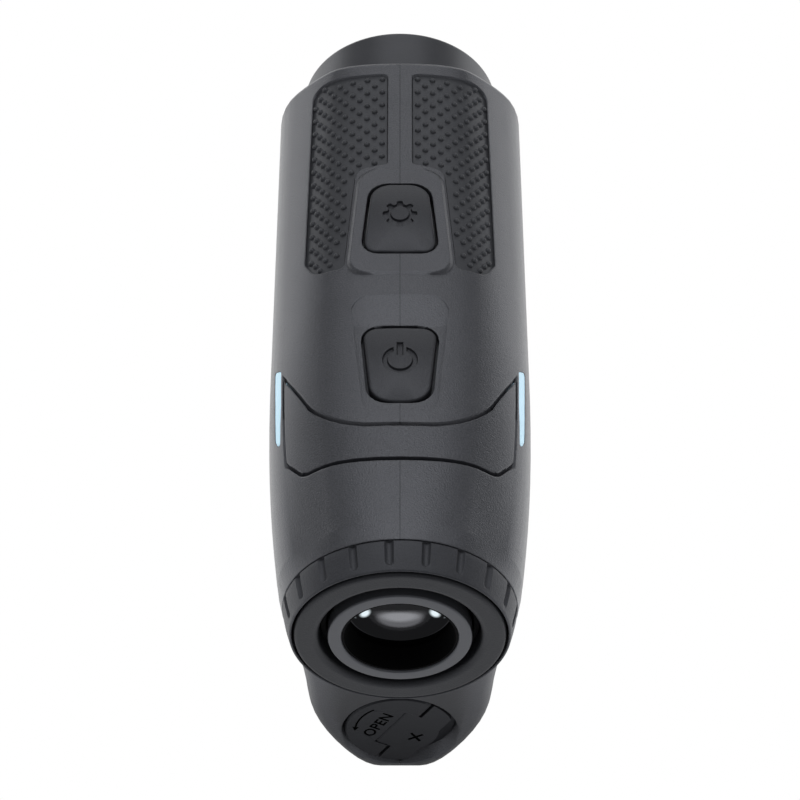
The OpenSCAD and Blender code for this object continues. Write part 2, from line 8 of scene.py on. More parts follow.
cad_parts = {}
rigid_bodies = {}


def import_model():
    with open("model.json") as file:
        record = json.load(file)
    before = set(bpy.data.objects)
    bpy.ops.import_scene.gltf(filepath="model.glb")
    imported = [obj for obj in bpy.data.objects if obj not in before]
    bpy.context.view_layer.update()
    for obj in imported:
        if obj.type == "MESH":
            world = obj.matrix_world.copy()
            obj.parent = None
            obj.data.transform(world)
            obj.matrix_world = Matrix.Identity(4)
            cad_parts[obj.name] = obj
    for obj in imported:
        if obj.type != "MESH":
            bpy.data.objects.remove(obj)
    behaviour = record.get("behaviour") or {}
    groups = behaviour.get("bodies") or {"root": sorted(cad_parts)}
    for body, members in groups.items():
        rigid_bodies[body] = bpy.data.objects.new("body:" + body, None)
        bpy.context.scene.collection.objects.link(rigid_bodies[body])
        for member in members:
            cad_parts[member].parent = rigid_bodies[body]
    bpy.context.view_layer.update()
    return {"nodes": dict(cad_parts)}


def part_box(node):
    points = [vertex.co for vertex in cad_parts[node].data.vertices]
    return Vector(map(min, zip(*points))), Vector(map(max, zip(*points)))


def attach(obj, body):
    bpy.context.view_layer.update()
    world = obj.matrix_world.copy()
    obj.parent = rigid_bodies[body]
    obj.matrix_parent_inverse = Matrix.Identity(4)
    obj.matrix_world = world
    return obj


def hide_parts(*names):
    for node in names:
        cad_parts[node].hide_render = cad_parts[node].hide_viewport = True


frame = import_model()
nodes = frame["nodes"]
print("frame loaded:", len(nodes), "nodes")

# places that the rest is measured from
mm = 0.001
fullTurn = 2 * math.pi
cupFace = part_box("eyecup")[0].y           # the eyecup's rear face
axisHeight = (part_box("eyecup")[0].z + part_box("eyecup")[1].z) / 2
doorHeight = (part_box("battery_door")[0].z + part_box("battery_door")[1].z) / 2
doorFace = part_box("battery_door")[0].y

# points in the photograph, x and y, by what they show
imagePoints = {
    "leftSide": (271.5, 420), "rightSide": (528.5, 420), "hoodTop": (397.5, 33), "underside": (399, 765.5),
    "modeButton": (399.7, 218.3), "powerButton": (399.7, 363.3), "gearIcon": (399.5, 213),
    "powerIcon": (399.5, 359), "topBand": (400.2, 429.2), "leftAccent": (278.7, 411.3),
    "rightAccent": (522.1, 410.6), "ocularRing": (400.2, 639.2), "batteryDoor": (401.1, 731.5),
    "openWord": (378.5, 725), "plusSign": (415.5, 737), "frontNub": (418.5, 80),
}

# the camera looks down at a place on the optical axis; aimAhead is how far that is from the eyecup's face
cameraSettings = {"distance": 0.430, "elevation": 49.8, "lens": 121.5, "sensor": 36, "aimAhead": 46.36,
                  "nearest": 0.01, "frame": (800, 800)}


def addObject(name, data):
    thing = bpy.data.objects.new(name, data)
    bpy.context.scene.collection.objects.link(thing)
    return thing


def meshFrom(name, bm):
    mesh = bpy.data.meshes.new(name)
    bm.to_mesh(mesh)
    bm.free()
    return mesh


def makeCamera(s):
    data = bpy.data.cameras.new("camera")
    data.lens = s["lens"]
    data.sensor_width = s["sensor"]
    data.sensor_fit = "AUTO"
    data.clip_start = s["nearest"]
    cam = addObject("camera", data)
    lift = math.radians(s["elevation"])
    aim = Vector((0, cupFace + s["aimAhead"] * mm, axisHeight))
    cam.location = aim + s["distance"] * Vector((0, -math.cos(lift), math.sin(lift)))
    cam.rotation_euler = (math.pi / 2 - lift, 0, 0)
    bpy.context.scene.camera = cam
    bpy.context.view_layer.update()
    return cam


camera = makeCamera(cameraSettings)


def placed(point, carrier):
    # the place on a finished carrier that an image point shows
    x, y = imagePoints[point]
    width, height = cameraSettings["frame"]
    side = max(width, height)
    lens = camera.data
    toward = Vector((x - width / 2 + lens.shift_x * side, height / 2 - y + lens.shift_y * side,
                     -side * lens.lens / lens.sensor_width))
    toward = (camera.matrix_world.to_3x3() @ toward).normalized()
    verts = [carrier.matrix_world @ v.co for v in carrier.data.vertices]
    tree = BVHTree.FromPolygons(verts, [f.vertices for f in carrier.data.polygons])
    hit = tree.ray_cast(camera.location, toward)[0]
    if hit is None:
        middle = sum(verts, Vector()) / len(verts)
        hit = tree.find_nearest(camera.location + toward * (middle - camera.location).dot(toward))[0]
    return hit


def shownAt(spot):
    # where a place shows in the photograph's frame
    width, height = cameraSettings["frame"]
    side = max(width, height)
    lens = camera.data
    seen = camera.matrix_world.inverted() @ spot
    scale = side * lens.lens / lens.sensor_width / -seen.z
    return (width / 2 + seen.x * scale - lens.shift_x * side,
            height / 2 - seen.y * scale + lens.shift_y * side)


print("camera set")

# floor and light: the floor's glow, in reflections, fades round the foot that footHalf measures
studio = {"floorColour": (0.92, 0.92, 0.925, 1), "floorGlow": 1.30, "worldColour": (1, 1, 1, 1),
          "worldLevel": 0.28, "floorHalf": 3.0, "footHalf": (0.013, 0.052), "footGlow": 0.30,
          "footFade": 0.027, "lampDistance": 0.9}
# each lamp stands at an azimuth from behind the eyepiece and a height above the floor, in degrees
lamps = {
    "softboxTop": {"azimuths": (180,), "height": 66, "size": (0.50, 0.30), "watts": 1.15},
    "softboxFront": {"azimuths": (180,), "height": 28, "size": (0.50, 0.30), "watts": 0.56},
    "sideBanks": {"azimuths": (-90, 90), "height": 65, "size": (0.30, 0.80), "watts": 0.95},
    "stripLow": {"azimuths": (-135, 135), "height": 5, "size": (0.30, 0.30), "watts": 0.36},
}


def addNode(tree, kind, **values):
    # a shader node, with its properties and the plain values of its sockets
    node = tree.nodes.new(kind)
    for name, value in values.items():
        if hasattr(node, name) and name not in node.inputs:
            setattr(node, name, value)
        else:
            node.inputs[name].default_value = value
    return node


def feed(tree, node, sources):
    # each socket, by name or number, takes another node's output or a plain value
    for socket, source in sources.items():
        if isinstance(source, bpy.types.NodeSocket):
            tree.links.new(source, node.inputs[socket])
        else:
            node.inputs[socket].default_value = source
    return node


def worked(tree, operation, *sources):
    # a Math node's result
    node = addNode(tree, "ShaderNodeMath", operation=operation)
    return feed(tree, node, dict(enumerate(sources))).outputs[0]


def workedVector(tree, operation, *sources):
    # a Vector Math node's result
    node = addNode(tree, "ShaderNodeVectorMath", operation=operation)
    feed(tree, node, dict(enumerate(sources)))
    return node.outputs["Value" if operation in ("LENGTH", "DOT_PRODUCT") else "Vector"]


def ranged(tree, value, given, wanted, smooth=False):
    # a Map Range node's result: the given span is laid over the wanted one
    node = addNode(tree, "ShaderNodeMapRange", interpolation_type="SMOOTHSTEP" if smooth else "LINEAR")
    feed(tree, node, {"Value": value, "From Min": given[0], "From Max": given[1],
                      "To Min": wanted[0], "To Max": wanted[1]})
    return node.outputs[0]


def mixedColour(tree, share, first, second):
    node = addNode(tree, "ShaderNodeMix", data_type="RGBA")
    return feed(tree, node, {"Factor": share, "A": first, "B": second}).outputs["Result"]


def mixedShader(tree, share, first, second):
    node = addNode(tree, "ShaderNodeMixShader")
    return feed(tree, node, {0: share, 1: first.outputs[0], 2: second.outputs[0]})


def clearedTree(owner):
    # the empty node tree of a new material or world
    owner.use_nodes = True
    owner.node_tree.nodes.clear()
    return owner.node_tree


def endsIn(tree, shader, kind="ShaderNodeOutputMaterial"):
    tree.links.new(shader.outputs[0], addNode(tree, kind).inputs[0])


def makeWorld(s):
    world = bpy.data.worlds.new("studio")
    bpy.context.scene.world = world
    tree = clearedTree(world)
    lit = addNode(tree, "ShaderNodeBackground", Color=s["worldColour"], Strength=s["worldLevel"])
    seen = addNode(tree, "ShaderNodeBackground", Color=(1, 1, 1, 1), Strength=1.0)
    path = addNode(tree, "ShaderNodeLightPath")
    endsIn(tree, mixedShader(tree, path.outputs["Is Camera Ray"], lit, seen), "ShaderNodeOutputWorld")


def makeLamp(name, azimuth, s, target):
    data = bpy.data.lights.new(name, "AREA")
    data.shape = "RECTANGLE"
    data.size, data.size_y = s["size"]
    data.energy = s["watts"]
    lamp = addObject(name, data)
    turn, lift = math.radians(azimuth), math.radians(s["height"])
    away = Vector((math.sin(turn) * math.cos(lift), -math.cos(turn) * math.cos(lift), math.sin(lift)))
    lamp.location = target + studio["lampDistance"] * away
    lamp.rotation_euler = (-away).to_track_quat("-Z", "Y").to_euler()


def makeFloor(s):
    bm = bmesh.new()
    bmesh.ops.create_grid(bm, x_segments=1, y_segments=1, size=s["floorHalf"])
    floor = addObject("floor", meshFrom("floor", bm))
    paint = bpy.data.materials.new("floorPaint")
    tree = clearedTree(paint)
    path = addNode(tree, "ShaderNodeLightPath").outputs
    # the glow fades under the object's foot, where its own shadow would lie
    spot = addNode(tree, "ShaderNodeTexCoord").outputs["Object"]
    beyond = workedVector(tree, "SUBTRACT", workedVector(tree, "ABSOLUTE", spot), (*s["footHalf"], 0))
    away = workedVector(tree, "LENGTH", workedVector(tree, "MAXIMUM", beyond, (0, 0, 0)))
    glow = ranged(tree, away, (0, s["footFade"]), (s["footGlow"], s["floorGlow"]), smooth=True)
    # white to the camera, that glow in reflections, and a matt floor to everything else
    matt = addNode(tree, "ShaderNodeBsdfDiffuse", Color=s["floorColour"])
    white = addNode(tree, "ShaderNodeEmission", Color=(1, 1, 1, 1))
    feed(tree, white, {"Strength": ranged(tree, path["Is Camera Ray"], (0, 1), (glow, 1))})
    either = worked(tree, "MAXIMUM", path["Is Camera Ray"], path["Is Glossy Ray"])
    endsIn(tree, mixedShader(tree, either, matt, white))
    floor.data.materials.append(paint)


bpy.context.scene.view_settings.view_transform = "Standard"
makeWorld(studio)
makeFloor(studio)
for lampName, lampSettings in lamps.items():
    for azimuth in lampSettings["azimuths"]:
        makeLamp(lampName, azimuth, lampSettings, Vector((0, 0, axisHeight)))
print("floor and lamps set")

# plain finishes, in metres: grain is the texture's size, depth its relief and edge the rounding's radius;
# mottle and fleck vary the colour, wear pales the edges and seam is the rounding left at the parting line;
# glow is painted light, an emission that brightens a finish though it is no lamp
finishes = {
    "housingPlastic": {"colour": (0.047, 0.0485, 0.055), "rough": (0.29, 0.40), "grain": 0.00022,
                       "depth": 0.000044, "mottle": 0.08, "edge": 0.00030, "wear": 0.15, "specular": 0.78,
                       "fleck": 0.30, "seam": 0.00002},
    "bandPlastic": {"colour": (0.045, 0.0465, 0.053), "rough": (0.29, 0.40), "grain": 0.00024,
                    "depth": 0.000044, "mottle": 0.08, "edge": 0.00030, "wear": 0.20, "specular": 0.72,
                    "fleck": 0.30},
    # the accent strips' glow is painted light: they shine by emission
    "accentPlastic": {"colour": (0.50, 0.74, 0.88), "rough": (0.30, 0.40), "grain": 0.00030,
                      "depth": 0.000006, "mottle": 0.03, "edge": 0.00012, "wear": 0.05, "glow": 0.42},
    "gripRubber": {"colour": (0.044, 0.0458, 0.051), "rough": (0.36, 0.50), "grain": 0.00016,
                   "depth": 0.000014, "mottle": 0.12, "edge": 0.00012, "wear": 0.10},
    "buttonPlastic": {"colour": (0.027, 0.028, 0.032), "rough": (0.30, 0.38), "grain": 0.00018,
                      "depth": 0.000020, "mottle": 0.08, "edge": 0.00012, "wear": 0.05, "specular": 0.42,
                      "fleck": 0.22},
    "cupRubber": {"colour": (0.020, 0.021, 0.024), "rough": (0.44, 0.58), "grain": 0.00022,
                  "depth": 0.000034, "mottle": 0.10, "edge": 0.00018, "wear": 0.20, "specular": 0.30,
                  "fleck": 0.26},
    "hoodPlastic": {"colour": (0.036, 0.0375, 0.043), "rough": (0.32, 0.44), "grain": 0.00020,
                    "depth": 0.000012, "mottle": 0.08, "edge": 0.00020, "wear": 0.15},
    "opticBlack": {"colour": (0.002, 0.002, 0.002), "rough": (0.60, 0.80), "grain": 0.00012,
                   "depth": 0.000006, "mottle": 0.10, "edge": 0.00008, "wear": 0.0, "specular": 0.06},
    "ocularPlastic": {"colour": (0.068, 0.071, 0.080), "rough": (0.36, 0.46), "grain": 0.00014,
                      "depth": 0.000008, "mottle": 0.06, "edge": 0.00015, "wear": 0.20},
    # the door's colour is set darker than the housing's: painted shade for the eyecup's shadow over the door
    "doorPlasticShaded": {"colour": (0.024, 0.025, 0.029), "rough": (0.44, 0.58), "grain": 0.00020,
                    "depth": 0.000016, "mottle": 0.10, "edge": 0.00012, "wear": 0.20, "specular": 0.24},
    "ringPlastic": {"colour": (0.036, 0.0375, 0.043), "rough": (0.42, 0.60), "grain": 0.00026,
                    "depth": 0.000040, "mottle": 0.12, "edge": 0.00012, "wear": 0.15, "fleck": 0.22},
    # the near-black of the door's cut marks is painted shade for the shadow in their grooves
    "grooveShadePaint": {"colour": (0.001, 0.001, 0.001), "rough": (0.65, 0.80), "grain": 0.00016,
                  "depth": 0.000008, "mottle": 0.10, "edge": 0.00004, "wear": 0.0, "specular": 0.04},
    "screwSteel": {"colour": (0.42, 0.42, 0.44), "rough": (0.22, 0.36), "grain": 0.00012,
                   "depth": 0.000004, "mottle": 0.06, "edge": 0.00010, "wear": 0.10, "metal": 1.0},
    "insertBrass": {"colour": (0.62, 0.46, 0.22), "rough": (0.26, 0.40), "grain": 0.00012,
                    "depth": 0.000004, "mottle": 0.08, "edge": 0.00010, "wear": 0.10, "metal": 1.0},
    "boardGreen": {"colour": (0.012, 0.075, 0.030), "rough": (0.30, 0.42), "grain": 0.00014,
                   "depth": 0.000004, "mottle": 0.10, "edge": 0.00005, "wear": 0.05},
    "flexFilm": {"colour": (0.52, 0.24, 0.05), "rough": (0.26, 0.34), "grain": 0.00020,
                 "depth": 0.000003, "mottle": 0.06, "edge": 0.00004, "wear": 0.05},
}
# what all plain finishes share; a noise keeps mostly within noiseSpan
finishForm = {"broad": 0.009, "pitScale": 0.80, "pitShare": 0.5, "bevelSamples": 6,
              "sheen": (0.88, 0.91, 1.0, 1), "noiseSpan": (0.3, 0.7), "rubbedSpan": (0.995, 0.80),
              "paler": (2.2, 0.02), "seamSpan": (0.0003, 0.0008), "lineSpan": (0.00003, 0.00008),
              "lineLevel": 0.45}


def plainFinish(name, s):
    f, s = finishForm, {"specular": 0.5, "metal": 0.0, "fleck": 0.10, **s}
    paint = bpy.data.materials.new(name)
    tree = clearedTree(paint)
    spot = addNode(tree, "ShaderNodeTexCoord").outputs["Object"]
    grain = addNode(tree, "ShaderNodeTexNoise", Scale=1 / s["grain"], Detail=3.0, Roughness=0.55)
    broad = addNode(tree, "ShaderNodeTexNoise", Scale=1 / f["broad"], Detail=4.0, Roughness=0.6)
    pits = addNode(tree, "ShaderNodeTexVoronoi", Scale=f["pitScale"] / s["grain"])
    for noise in (grain, broad, pits):
        feed(tree, noise, {"Vector": spot})
    grain, broad = grain.outputs["Fac"], broad.outputs["Fac"]
    tint = ranged(tree, broad, f["noiseSpan"], (1 - s["mottle"], 1 + s["mottle"]))
    fleck = ranged(tree, grain, f["noiseSpan"], (1 - s["fleck"], 1 + s["fleck"]))
    level = worked(tree, "MULTIPLY", tint, fleck)
    radius, specular = s["edge"], s["specular"]
    if "seam" in s:
        # the rounding fades out at the halves' parting line, and the line itself is a shade darker
        across = feed(tree, addNode(tree, "ShaderNodeSeparateXYZ"), {0: spot})
        apart = worked(tree, "ABSOLUTE", across.outputs["X"])
        radius = ranged(tree, apart, f["seamSpan"], (s["seam"], s["edge"]))
        line = ranged(tree, apart, f["lineSpan"], (f["lineLevel"], 1.0))
        specular = worked(tree, "MULTIPLY", line, specular)
        level = worked(tree, "MULTIPLY", level, line)
    rounded = addNode(tree, "ShaderNodeBevel", samples=f["bevelSamples"])
    rounded = feed(tree, rounded, {"Radius": radius}).outputs["Normal"]
    height = worked(tree, "MULTIPLY_ADD", pits.outputs["Distance"], f["pitShare"], grain)
    bump = addNode(tree, "ShaderNodeBump", Distance=s["depth"])
    feed(tree, bump, {"Height": height, "Normal": rounded})
    # edges, where the rounded normal leaves the true one, are rubbed a little paler
    true = addNode(tree, "ShaderNodeNewGeometry").outputs["Normal"]
    rubbed = ranged(tree, workedVector(tree, "DOT_PRODUCT", rounded, true), f["rubbedSpan"], (0.0, s["wear"]))
    shade = addNode(tree, "ShaderNodeVectorMath", operation="SCALE")
    feed(tree, shade, {0: s["colour"], "Scale": level})
    times, more = f["paler"]
    pale = (*[min(1, c * times + more) for c in s["colour"]], 1)
    worn = mixedColour(tree, rubbed, shade.outputs[0], pale)
    gloss = ranged(tree, grain, f["noiseSpan"], s["rough"])
    sockets = {"Base Color": worn, "Metallic": s["metal"], "Roughness": gloss, "Specular IOR Level": specular,
               "Specular Tint": f["sheen"], "Normal": bump.outputs["Normal"]}
    # painted light: a glow adds emission in the finish's own colour
    if "glow" in s:
        sockets.update({"Emission Color": worn, "Emission Strength": s["glow"]})
    endsIn(tree, feed(tree, addNode(tree, "ShaderNodeBsdfPrincipled"), sockets))
    return paint


# what the coated glasses share; throughLens is an oval's depth, more than any lens has
glassForm = {"coatSpan": (0.9, 1.1), "rimSoft": 0.015, "throughLens": 1000}


def ovalMask(tree, spot, oval):
    # an oval's level inside its soft edge, nothing outside; at and half are in millimetres from the axis
    (x, z), (wide, tall) = oval["at"], oval["half"]
    fit = addNode(tree, "ShaderNodeMapping", vector_type="TEXTURE")
    feed(tree, fit, {"Vector": spot, "Location": (x * mm, 0, z * mm + axisHeight),
                     "Rotation": (0, math.radians(oval.get("turn", 0)), 0),
                     "Scale": (wide * mm, glassForm["throughLens"], tall * mm)})
    far = workedVector(tree, "LENGTH", fit.outputs[0])
    return ranged(tree, far, (1 - oval["soft"], 1 + oval["soft"]), (oval["level"], 0), smooth=True)


# each oval is painted light: a painted reflection patch or a painted glint
def summedOvals(tree, spot, paintedOvals, total=None):
    for oval in paintedOvals:
        mask = ovalMask(tree, spot, oval)
        total = mask if total is None else worked(tree, "ADD", total, mask)
    return total


def withPaintedLight(tree, surface, colour, strength):
    # the surface with painted light: an emission that stands in for highlights or stray light
    light = feed(tree, addNode(tree, "ShaderNodeEmission", Color=(*colour, 1)), {"Strength": strength})
    both = addNode(tree, "ShaderNodeAddShader")
    return feed(tree, both, {0: surface.outputs[0], 1: light.outputs[0]})


def glassFinish(name, s):
    # coated glass: dark inside, with a thin tinted sheen that turns with the angle; where asked, painted
    # reflection patches, painted glints and a painted glow that is brighter at the ground rim
    paint = bpy.data.materials.new(name)
    tree = clearedTree(paint)
    spot = addNode(tree, "ShaderNodeTexCoord").outputs["Object"]
    glass = addNode(tree, "ShaderNodeBsdfRefraction" if "paintedOvals" in s else "ShaderNodeBsdfGlass",
                    Color=(*s["body"], 1), Roughness=0.0, IOR=1.5)
    facing = addNode(tree, "ShaderNodeLayerWeight", Blend=0.5).outputs["Facing"]
    coat = addNode(tree, "ShaderNodeBsdfGlossy", Roughness=s["smooth"])
    feed(tree, coat, {"Color": mixedColour(tree, facing, (*s["sheenFacing"], 1), (*s["sheenAlong"], 1))})
    smears = addNode(tree, "ShaderNodeTexNoise", Scale=1 / s["smear"], Detail=4.0)
    smears = feed(tree, smears, {"Vector": spot}).outputs["Fac"]
    share = ranged(tree, smears, finishForm["noiseSpan"], [s["coat"] * k for k in glassForm["coatSpan"]])
    # painted reflections: the coat's share is raised inside the ovals
    surface = mixedShader(tree, summedOvals(tree, spot, s.get("paintedOvals", ()), share), glass, coat)
    # painted highlights: the glints shine by emission
    if "paintedGlints" in s:
        surface = withPaintedLight(tree, surface, s["paintedGlintColour"], summedOvals(tree, spot, s["paintedGlints"]))
    if "rim" in s:
        # painted glow: a faint emission over the glass, brighter at the ground rim, stands in for light
        # straying inside it
        whole = {"at": (0, 0), "half": s["rim"], "soft": glassForm["rimSoft"], "level": 1}
        clear = ovalMask(tree, spot, whole)
        stray = ranged(tree, clear, (0, 1), (s["rimStray"], s["stray"]))
        surface = withPaintedLight(tree, surface, s["paintedGlowColour"], stray)
    endsIn(tree, surface)
    return paint


glasses = {
    "lensGlass": {"body": (0.20, 0.22, 0.23), "sheenFacing": (0.50, 0.62, 0.70),
                  "sheenAlong": (0.66, 0.64, 0.80), "smear": 0.004, "coat": 0.04, "smooth": 0.015},
    "eyeGlass": {"body": (0.10, 0.11, 0.12), "sheenFacing": (0.86, 0.88, 0.92),
                 "sheenAlong": (0.90, 0.90, 1.0), "smear": 0.004, "coat": 0.008, "smooth": 0.06,
                 # rim marks the ground rim; the glow levels and their colour are painted light, an emission
                 # over the glass that is brighter at the rim
                 "rim": (7.68, 7.68), "rimStray": 0.026, "stray": 0.008, "paintedGlowColour": (0.92, 0.93, 1.0),
                 # the ovals are painted reflections: soft patches where the coat reflects more
                 "paintedOvals": [{"at": (0, 1.0), "half": (3.35, 1.72), "soft": 0.20, "level": 0.085},
                           {"at": (0, 1.75), "half": (2.9, 1.0), "soft": 0.55, "level": 0.13}],
                 "paintedGlintColour": (0.84, 0.95, 1.0), "paintedGlints": []},
}
# painted highlights: two bright glints and two faint ones, the same on both sides, that shine by emission
for x, turn in ((-5.2, -58), (5.2, 58)):
    glasses["eyeGlass"]["paintedGlints"].append({"at": (x, 1.2), "half": (1.1, 0.45), "turn": turn, "soft": 0.5,
                                          "level": 0.95})
for x in (-6.85, 6.85):
    glasses["eyeGlass"]["paintedGlints"].append({"at": (x, -0.75), "half": (0.26, 0.26), "soft": 0.8, "level": 0.16})
paints = {name: plainFinish(name, s) for name, s in finishes.items()}
paints.update({name: glassFinish(name, s) for name, s in glasses.items()})
print("finishes made:", len(paints))


def place(x, d, z):
    # x across, d ahead of the eyecup's rear face, z above the optical axis, all in millimetres
    return Vector((x * mm, cupFace + d * mm, axisHeight + z * mm))


def unplace(co):
    return co.x / mm, (co.y - cupFace) / mm, (co.z - axisHeight) / mm


# the housing's section: the corners of its half outline at the rear face, the hip and the front face;
# t counts its arcs from the crown, which ends at crownEnd, and the outline ends at lastT
skin = {
    "rearFace": 8.0, "hip": 46.0, "frontFace": 105.5, "swell": 2.3, "crownEnd": 2.6, "lastT": 6.99,
    "atRear": ((7.4, 17.9), (12.9, 12.9), (18.3, 7.4), (18.3, -5), (14.7, -22), (14.3, -35), (6.3, -49),
               (0, -49)),
    "atHip": ((9, 18.5), (16.2, 14.8), (20.5, 8.2), (20.5, -3), (16.5, -22), (14.5, -36), (12.4, -49),
              (0, -49)),
    "atFront": ((9, 18.5), (14.6, 14.7), (20.7, 8.1), (20.2, -3), (17.1, -22), (15.9, -36), (13, -49),
                (0, -49)),
}


def sectionAt(d):
    # the corners at d, between the hip's and those of the end face on that side
    behind = d < skin["hip"]
    end, corners = (skin["rearFace"], skin["atRear"]) if behind else (skin["frontFace"], skin["atFront"])
    share = min(1, abs(d - skin["hip"]) / abs(end - skin["hip"]))
    share = share ** skin["swell"] if behind else share
    return [Vector(a).lerp(Vector(b), share) for a, b in zip(skin["atHip"], corners)]


def skinPoint(section, t, off=0):
    # the outline is a chain of parabolas: arc i runs between the middles of the legs beside corner i
    i = min(int(t), len(section) - 2)
    u, corner = t - i, section[i]
    start = Vector((0, section[0].y)) if i == 0 else (section[i - 1] + corner) / 2
    end = (corner + section[i + 1]) / 2
    slope = (1 - u) * (corner - start) + u * (end - corner)
    out = Vector((-slope.y, slope.x)).normalized()
    return (1 - u) ** 2 * start + 2 * u * (1 - u) * corner + u * u * end + off * out


def nearestT(section, x, z, step=0.2, finer=8, walks=3):
    # where on the half outline a point lies, by a coarse walk and then finer ones
    target = Vector((x, z))
    low, high = 0.0, skin["lastT"]
    for walk in range(walks):
        count = int((high - low) / step) + 1
        best = min((low + k * step for k in range(count + 1)),
                   key=lambda t: (skinPoint(section, min(t, skin["lastT"])) - target).length_squared)
        low, high, step = max(0, best - step), min(skin["lastT"], best + step), step / finer
    return min(best, skin["lastT"])


def skinNormal(d, t, side, ahead=0.05, onward=0.01):
    # from two small steps on the skin, one ahead and one round the section
    a, b = skinPoint(sectionAt(d), t), skinPoint(sectionAt(d + ahead), t)
    c = skinPoint(sectionAt(d), t + onward)
    n = Vector((c.x - a.x, 0, c.y - a.y)).cross(Vector((b.x - a.x, ahead, b.y - a.y))).normalized()
    return Vector((side * n.x, n.y, n.z))


def halved(low, high, below, halvings=26):
    # the value at which below stops being true
    for k in range(halvings):
        middle = (low + high) / 2
        if below(middle):
            low = middle
        else:
            high = middle
    return low


def skinHeight(x, d):
    # z of the crown side of the skin above a place in plan
    section = sectionAt(d)
    return skinPoint(section, halved(0.0, skin["crownEnd"], lambda t: skinPoint(section, t).x < abs(x))).y


def evenShade(piece):
    weigh = piece.modifiers.new("even", "WEIGHTED_NORMAL")
    weigh.keep_sharp = True
    weigh.weight = 60


def newPiece(name, bm, body, paint, stands, crease=32, even=True):
    # one shown piece: a mesh that rides on a body and stands for CAD nodes
    bmesh.ops.recalc_face_normals(bm, faces=bm.faces)
    mesh = meshFrom(name, bm)
    mesh.shade_smooth()
    mesh.set_sharp_from_angle(angle=math.radians(crease))
    mesh.materials.append(paints[paint])
    piece = addObject(name, mesh)
    if even:
        evenShade(piece)
    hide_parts(*stands)
    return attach(piece, body)


def copyOf(node):
    bm = bmesh.new()
    bm.from_mesh(nodes[node].data)
    bmesh.ops.remove_doubles(bm, verts=bm.verts, dist=1e-7)
    return bm


# a vertex may stray so far sideways and so far past a level's ends; a face whose normal rises above flat is
# the plateau's top, and a new normal has to agree with the face's own
skinFit = {"stray": 0.05, "pastEnds": 0.03, "flat": 0.9995, "agree": 0.7}


def followSkin(piece, *levels, reach=0.12):
    # faces on the housing's skin, or level with it, get its true normal, so that no facet shows;
    # a level is (offset from the skin where it starts, where it ends, start d, end d)
    mesh = piece.data
    skinPlaces = {}

    def offOf(vertex):
        x, d, z = unplace(vertex.co)
        if vertex.index not in skinPlaces:
            section = sectionAt(d)
            t = nearestT(section, abs(x), z)
            on = skinPoint(section, t)
            gap = Vector((abs(x), z)) - on
            out = skinPoint(section, t, 1) - on
            stray = abs(gap.x * out.y - gap.y * out.x)
            skinPlaces[vertex.index] = (gap.dot(out) if stray < skinFit["stray"] else math.inf, t)
        return d, skinPlaces[vertex.index][0]

    def fits(spot, level):
        offFrom, offTo, dFrom, dTo = level
        d, off = spot
        share = (d - dFrom) / (dTo - dFrom)
        along = -skinFit["pastEnds"] < share < 1 + skinFit["pastEnds"]
        return along and abs(off - offFrom - (offTo - offFrom) * share) < reach

    def levelNormal(vertex, level):
        offFrom, offTo, dFrom, dTo = level
        x, d, z = unplace(vertex.co)
        n = skinNormal(d, skinPlaces[vertex.index][1], 1 if x >= 0 else -1)
        return (n - Vector((0, (offTo - offFrom) / (dTo - dFrom), 0))).normalized()

    normals = []
    for face in mesh.polygons:
        corners = [mesh.vertices[i] for i in face.vertices]
        spots = [offOf(vertex) for vertex in corners]
        level = next((own for own in levels if all(fits(spot, own) for spot in spots)), None)
        flat = face.normal.z > skinFit["flat"]
        for vertex in corners:
            n = face.normal if flat else levelNormal(vertex, level) if level else None
            kept = n is not None and n.dot(face.normal) > skinFit["agree"]
            normals.append(n if kept else Vector((0, 0, 0)))
    mesh.normals_split_custom_set(normals)


# housing, band and accents, in millimetres: the halves are drawn up to each other until their parting line
# is a hairline, and the band steps in, so that the joint round it reads as a line
housingForm = {"seamReach": 0.035, "seamGap": 0.0005, "bandStep": 0.20, "wallSlope": 0.5,
               "levels": ((0, 0, 10.4, 104.4), (-0.8, -0.8, 28, 46.2), (-0.8, 0.02, 46.2, 52.6)),
               "accentLevel": (-0.05, -0.05, 20, 50), "bandLevel": (-0.02, -0.02, 15, 50), "bandReach": 0.14}


def closeSeam(bm):
    for v in bm.verts:
        if abs(v.co.x) < housingForm["seamReach"] * mm:
            v.co.x = math.copysign(housingForm["seamGap"] * mm, v.co.x)
    return bm


def drawIn(bm, amount):
    # the side walls of a sheet on the skin move inwards
    walls = {}
    for face in bm.faces:
        x, d, z = unplace(face.calc_center_median())
        up = skinNormal(d, nearestT(sectionAt(d), abs(x), z), 1 if x >= 0 else -1)
        if abs(face.normal.dot(up)) < housingForm["wallSlope"]:
            for v in face.verts:
                walls.setdefault(v, []).append(face.normal.copy())
    for v, own in walls.items():
        v.co -= sum(own, Vector()).normalized() * amount * mm
    return bm


# the finishes of nodes that no piece stands for, where they aren't black
nodePaint = {
    "lensGlass": ("objective_rear_lens", "erecting_prism", "roof_prism", "display_glass"),
    "screwSteel": ("housing_screws", "tab_pin", "cell_spring", "door_contact", "laser_diode", "detector",
                   "button_switches", "battery_cell"),
    "insertBrass": ("tripod_insert",), "boardGreen": ("main_board", "button_board", "diode_board"),
    "flexFilm": ("board_flex",), "cupRubber": ("door_seal",),
}
for nodeName, node in nodes.items():
    paint = next((own for own, names in nodePaint.items() if nodeName in names), "opticBlack")
    node.data.materials.clear()
    node.data.materials.append(paints[paint])

